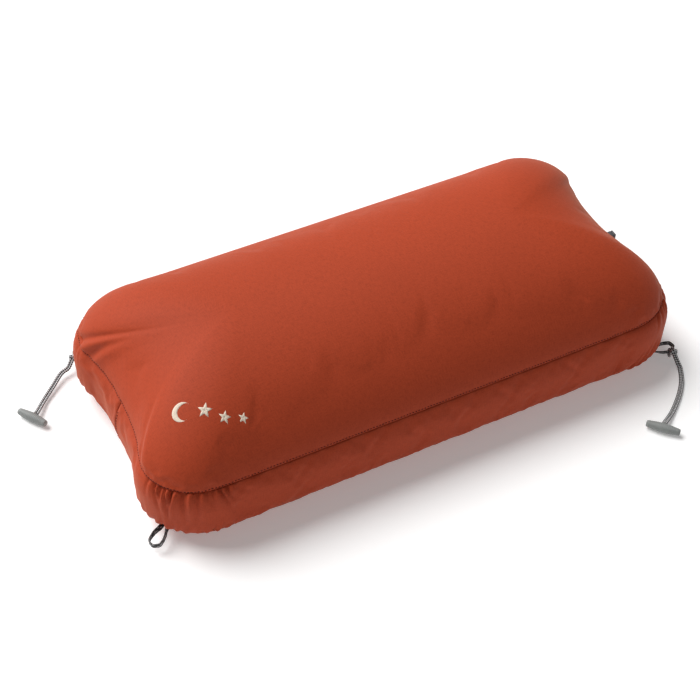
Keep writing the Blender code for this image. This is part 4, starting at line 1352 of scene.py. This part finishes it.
def stick_to_band(line, towards):
    """Move points along a direction until they lie on the shown bands."""
    trees = [search_tree(bpy.data.objects[n].data) for n in ("band_front", "band_back")]
    out = []
    for p in line:
        start = Vector(p) - towards * 0.02
        hits = [t.ray_cast(start, towards, 0.05)[0] for t in trees]
        hits = [h for h in hits if h is not None]
        best = min(hits, key=lambda h: (h - start).length) if hits else Vector(p)
        out.append(tuple(best))
    return np.array(out)


def make_zip_binding():
    """The folded edges of the band round the zip: a narrow rounded welt that hides the cut."""
    corners = [
        Vector((x * zip_reach(), HALF_WIDTH - 0.0004, BAND_MIDDLE_Z + z * ZIP_HALF_HEIGHT)) for x, z in SQUARE
    ]
    line = np.array([tuple(p) for p in walk_round(corners, 0.0015) + corners[:1]])
    item = tube("zip_welt", line, 0.0006, 8)
    finish_piece(item, "pillow", paints["cover_trim"], "cover_fabric")


make_zip()


# ---- valve ----


def make_valve():
    place = valve_place()
    axis, up = (1, 0, 0), (0, 0, 1)
    bore, neck = 0.0056, 0.0080
    groove = neck - 0.0004
    flange = [
        (-0.0046, bore), (-0.0046, 0.0100), (-0.0043, 0.0104),
        (-0.0036, 0.0104), (-0.0034, 0.0101), (-0.0034, neck + 0.0003),
    ]
    neck_rows = [
        (-0.0030, neck), (0.0008, neck), (0.0029, neck), (0.0032, groove),
        (0.0036, groove), (0.0039, neck), (0.0056, neck), (0.0060, groove),
    ]
    mouth = [(0.0060, bore + 0.0005), (0.0057, bore), (0.0, bore), (-0.0044, bore)]
    stem = spun("valve_neck", flange + neck_rows + mouth, 56, place, axis, up)
    open_ends(stem)
    finish_piece(stem, "pillow", paints["valve"], "valve_plastic", "valve_base")

    ring_rows = [
        (0.0012, 0.0084), (0.0012, 0.0094), (0.0015, 0.0098), (0.0025, 0.0098), (0.0028, 0.0094),
        (0.0028, 0.0084), (0.0025, 0.0083), (0.0015, 0.0083), (0.0012, 0.0084),
    ]
    ring = spun("valve_strap_ring", ring_rows, 56, place, axis, up)
    open_ends(ring)
    arm = bevelled_boxes("valve_strap_arm", [
        (place + Vector((0.0012, -0.0025, 0.0092)), place + Vector((0.0028, 0.0025, 0.0132))),
        (place + Vector((0.0020, -0.0025, 0.0118)), place + Vector((0.0060, 0.0025, 0.0132))),
    ])
    finish_piece(ring, "pillow", paints["valve"], "valve_plastic", "valve_cap_strap")
    finish_piece(arm, "pillow", paints["valve"], "valve_plastic")

    lid_rows = [
        (0.0028, 0.0042), (0.0028, 0.0048), (0.0030, 0.0050), (0.0063, 0.0050),
        (0.0063, 0.0086), (0.0065, 0.0089), (0.0074, 0.0090), (0.0079, 0.0086),
        (0.0080, 0.0082), (0.0080, 0.0066), (0.00775, 0.0062), (0.00775, 0.0),
    ]
    lid = spun("valve_lid", lid_rows, 72, place, axis, up)
    knurl(lid, place)
    tab = bevelled_boxes("valve_lid_tab", [
        (place + Vector((0.0063, -0.0025, 0.0080)), place + Vector((0.0078, 0.0025, 0.0132))),
        (place + Vector((0.0064, -0.0028, -0.0112)), place + Vector((0.0076, 0.0028, -0.0080))),
    ])
    finish_piece(lid, "valve_cap", paints["valve"], "valve_plastic", "valve_cap")
    finish_piece(tab, "valve_cap", paints["valve"], "valve_plastic")

    patch_rows = (
        (0.0083, -0.0004), (0.0084, 0.0006), (0.0090, 0.0008),
        (0.0118, 0.0007), (0.0125, 0.0004), (0.0127, -0.0006),
    )
    rows = np.array([ring_on_end(place, radius, lift, 64) for radius, lift in patch_rows])
    patch = new_object("valve_patch", rows.reshape(-1, 3), grid_faces(len(rows), 64))
    finish_piece(patch, "pillow", paints["cover_trim"], "cover_fabric")
    circle = ring_on_end(place, 0.0106, 0.0008, 120)
    stitches("stitches_valve", circle, np.tile((1.0, 0, 0), (len(circle), 1)), pitch=0.0020)


def ring_on_end(place, radius, lift, steps):
    """A ring round the valve that lies so far off the band's outside."""
    points = []
    for k in range(steps):
        turn = math.tau * k / steps
        y, z = place.y + radius * math.cos(turn), place.z + radius * math.sin(turn)
        points.append((end_surface(y, z) + lift, y, z))
    return np.array(points)


def end_surface(y, z):
    """X of the band's outside on the right-hand end."""
    hit = band_tree.find_nearest(Vector((HALF_LENGTH - END_PULL, y, z)))[0]
    ray = band_tree.ray_cast(Vector((0.3, y, z)), Vector((-1, 0, 0)), 0.2)[0]
    return ray.x if ray is not None and ray.x > 0.1 else hit.x


def open_ends(item):
    """Remove the two end caps of a turned ring, whose profile already closes on itself."""
    editing = bmesh.new()
    editing.from_mesh(item.data)
    big = [f for f in editing.faces if len(f.verts) > 8]
    bmesh.ops.delete(editing, geom=big, context="FACES_ONLY")
    bmesh.ops.remove_doubles(editing, verts=editing.verts, dist=1e-6)
    editing.to_mesh(item.data)
    editing.free()
    item.data.shade_smooth()
    item.data.set_sharp_from_angle(angle=math.radians(50))


def bevelled_boxes(name, boxes):
    """Overlapping boxes joined into one rounded piece."""
    editing = bmesh.new()
    for low, high in boxes:
        corners = bmesh.ops.create_cube(editing, size=1)["verts"]
        for v in corners:
            v.co = Vector((low[k] + (v.co[k] + 0.5) * (high[k] - low[k]) for k in range(3)))
    edges = list(editing.edges)
    bmesh.ops.bevel(editing, geom=edges, offset=0.00035, segments=3, profile=0.6, affect="EDGES")
    mesh = bpy.data.meshes.new(name)
    editing.to_mesh(mesh)
    editing.free()
    item = bpy.data.objects.new(name, mesh)
    scene.collection.objects.link(item)
    mesh.shade_smooth()
    mesh.set_sharp_from_angle(angle=math.radians(55))
    return item


def knurl(item, place):
    """Grip ribs round the rim of the cap."""
    for v in item.data.vertices:
        y, z = v.co.y - place.y, v.co.z - place.z
        radius = math.hypot(y, z)
        if radius > 0.0080:
            factor = 1 - 0.022 * (0.5 + 0.5 * math.cos(math.atan2(z, y) * 36))
            v.co.y, v.co.z = place.y + y * factor, place.z + z * factor
    item.data.set_sharp_from_angle(angle=math.radians(50))


band_tree = BVHTree.FromPolygons([tuple(p) for p in band.reshape(-1, 3)], grid_faces(*band.shape[:2]))
make_valve()


# ---- pieces that keep their CAD shape ----


# These show as the CAD has them, or lie inside, and get their procedural material.
KEPT = {
    "film": (
        "bladder_top_sheet", "bladder_side_wall", "bladder_bottom_sheet",
        "bladder_web_front", "bladder_web_back",
    ),
    "valve": ("valve_seat",),
    "rubber": ("valve_flap",),
    "zip_metal": ("zip_top_stop", "zip_bottom_stop", "zip_slider", "zip_pull"),
}
for paint, nodes in KEPT.items():
    for node in nodes:
        for place in frame["nodes"][node].material_slots:
            place.material = paints[paint]
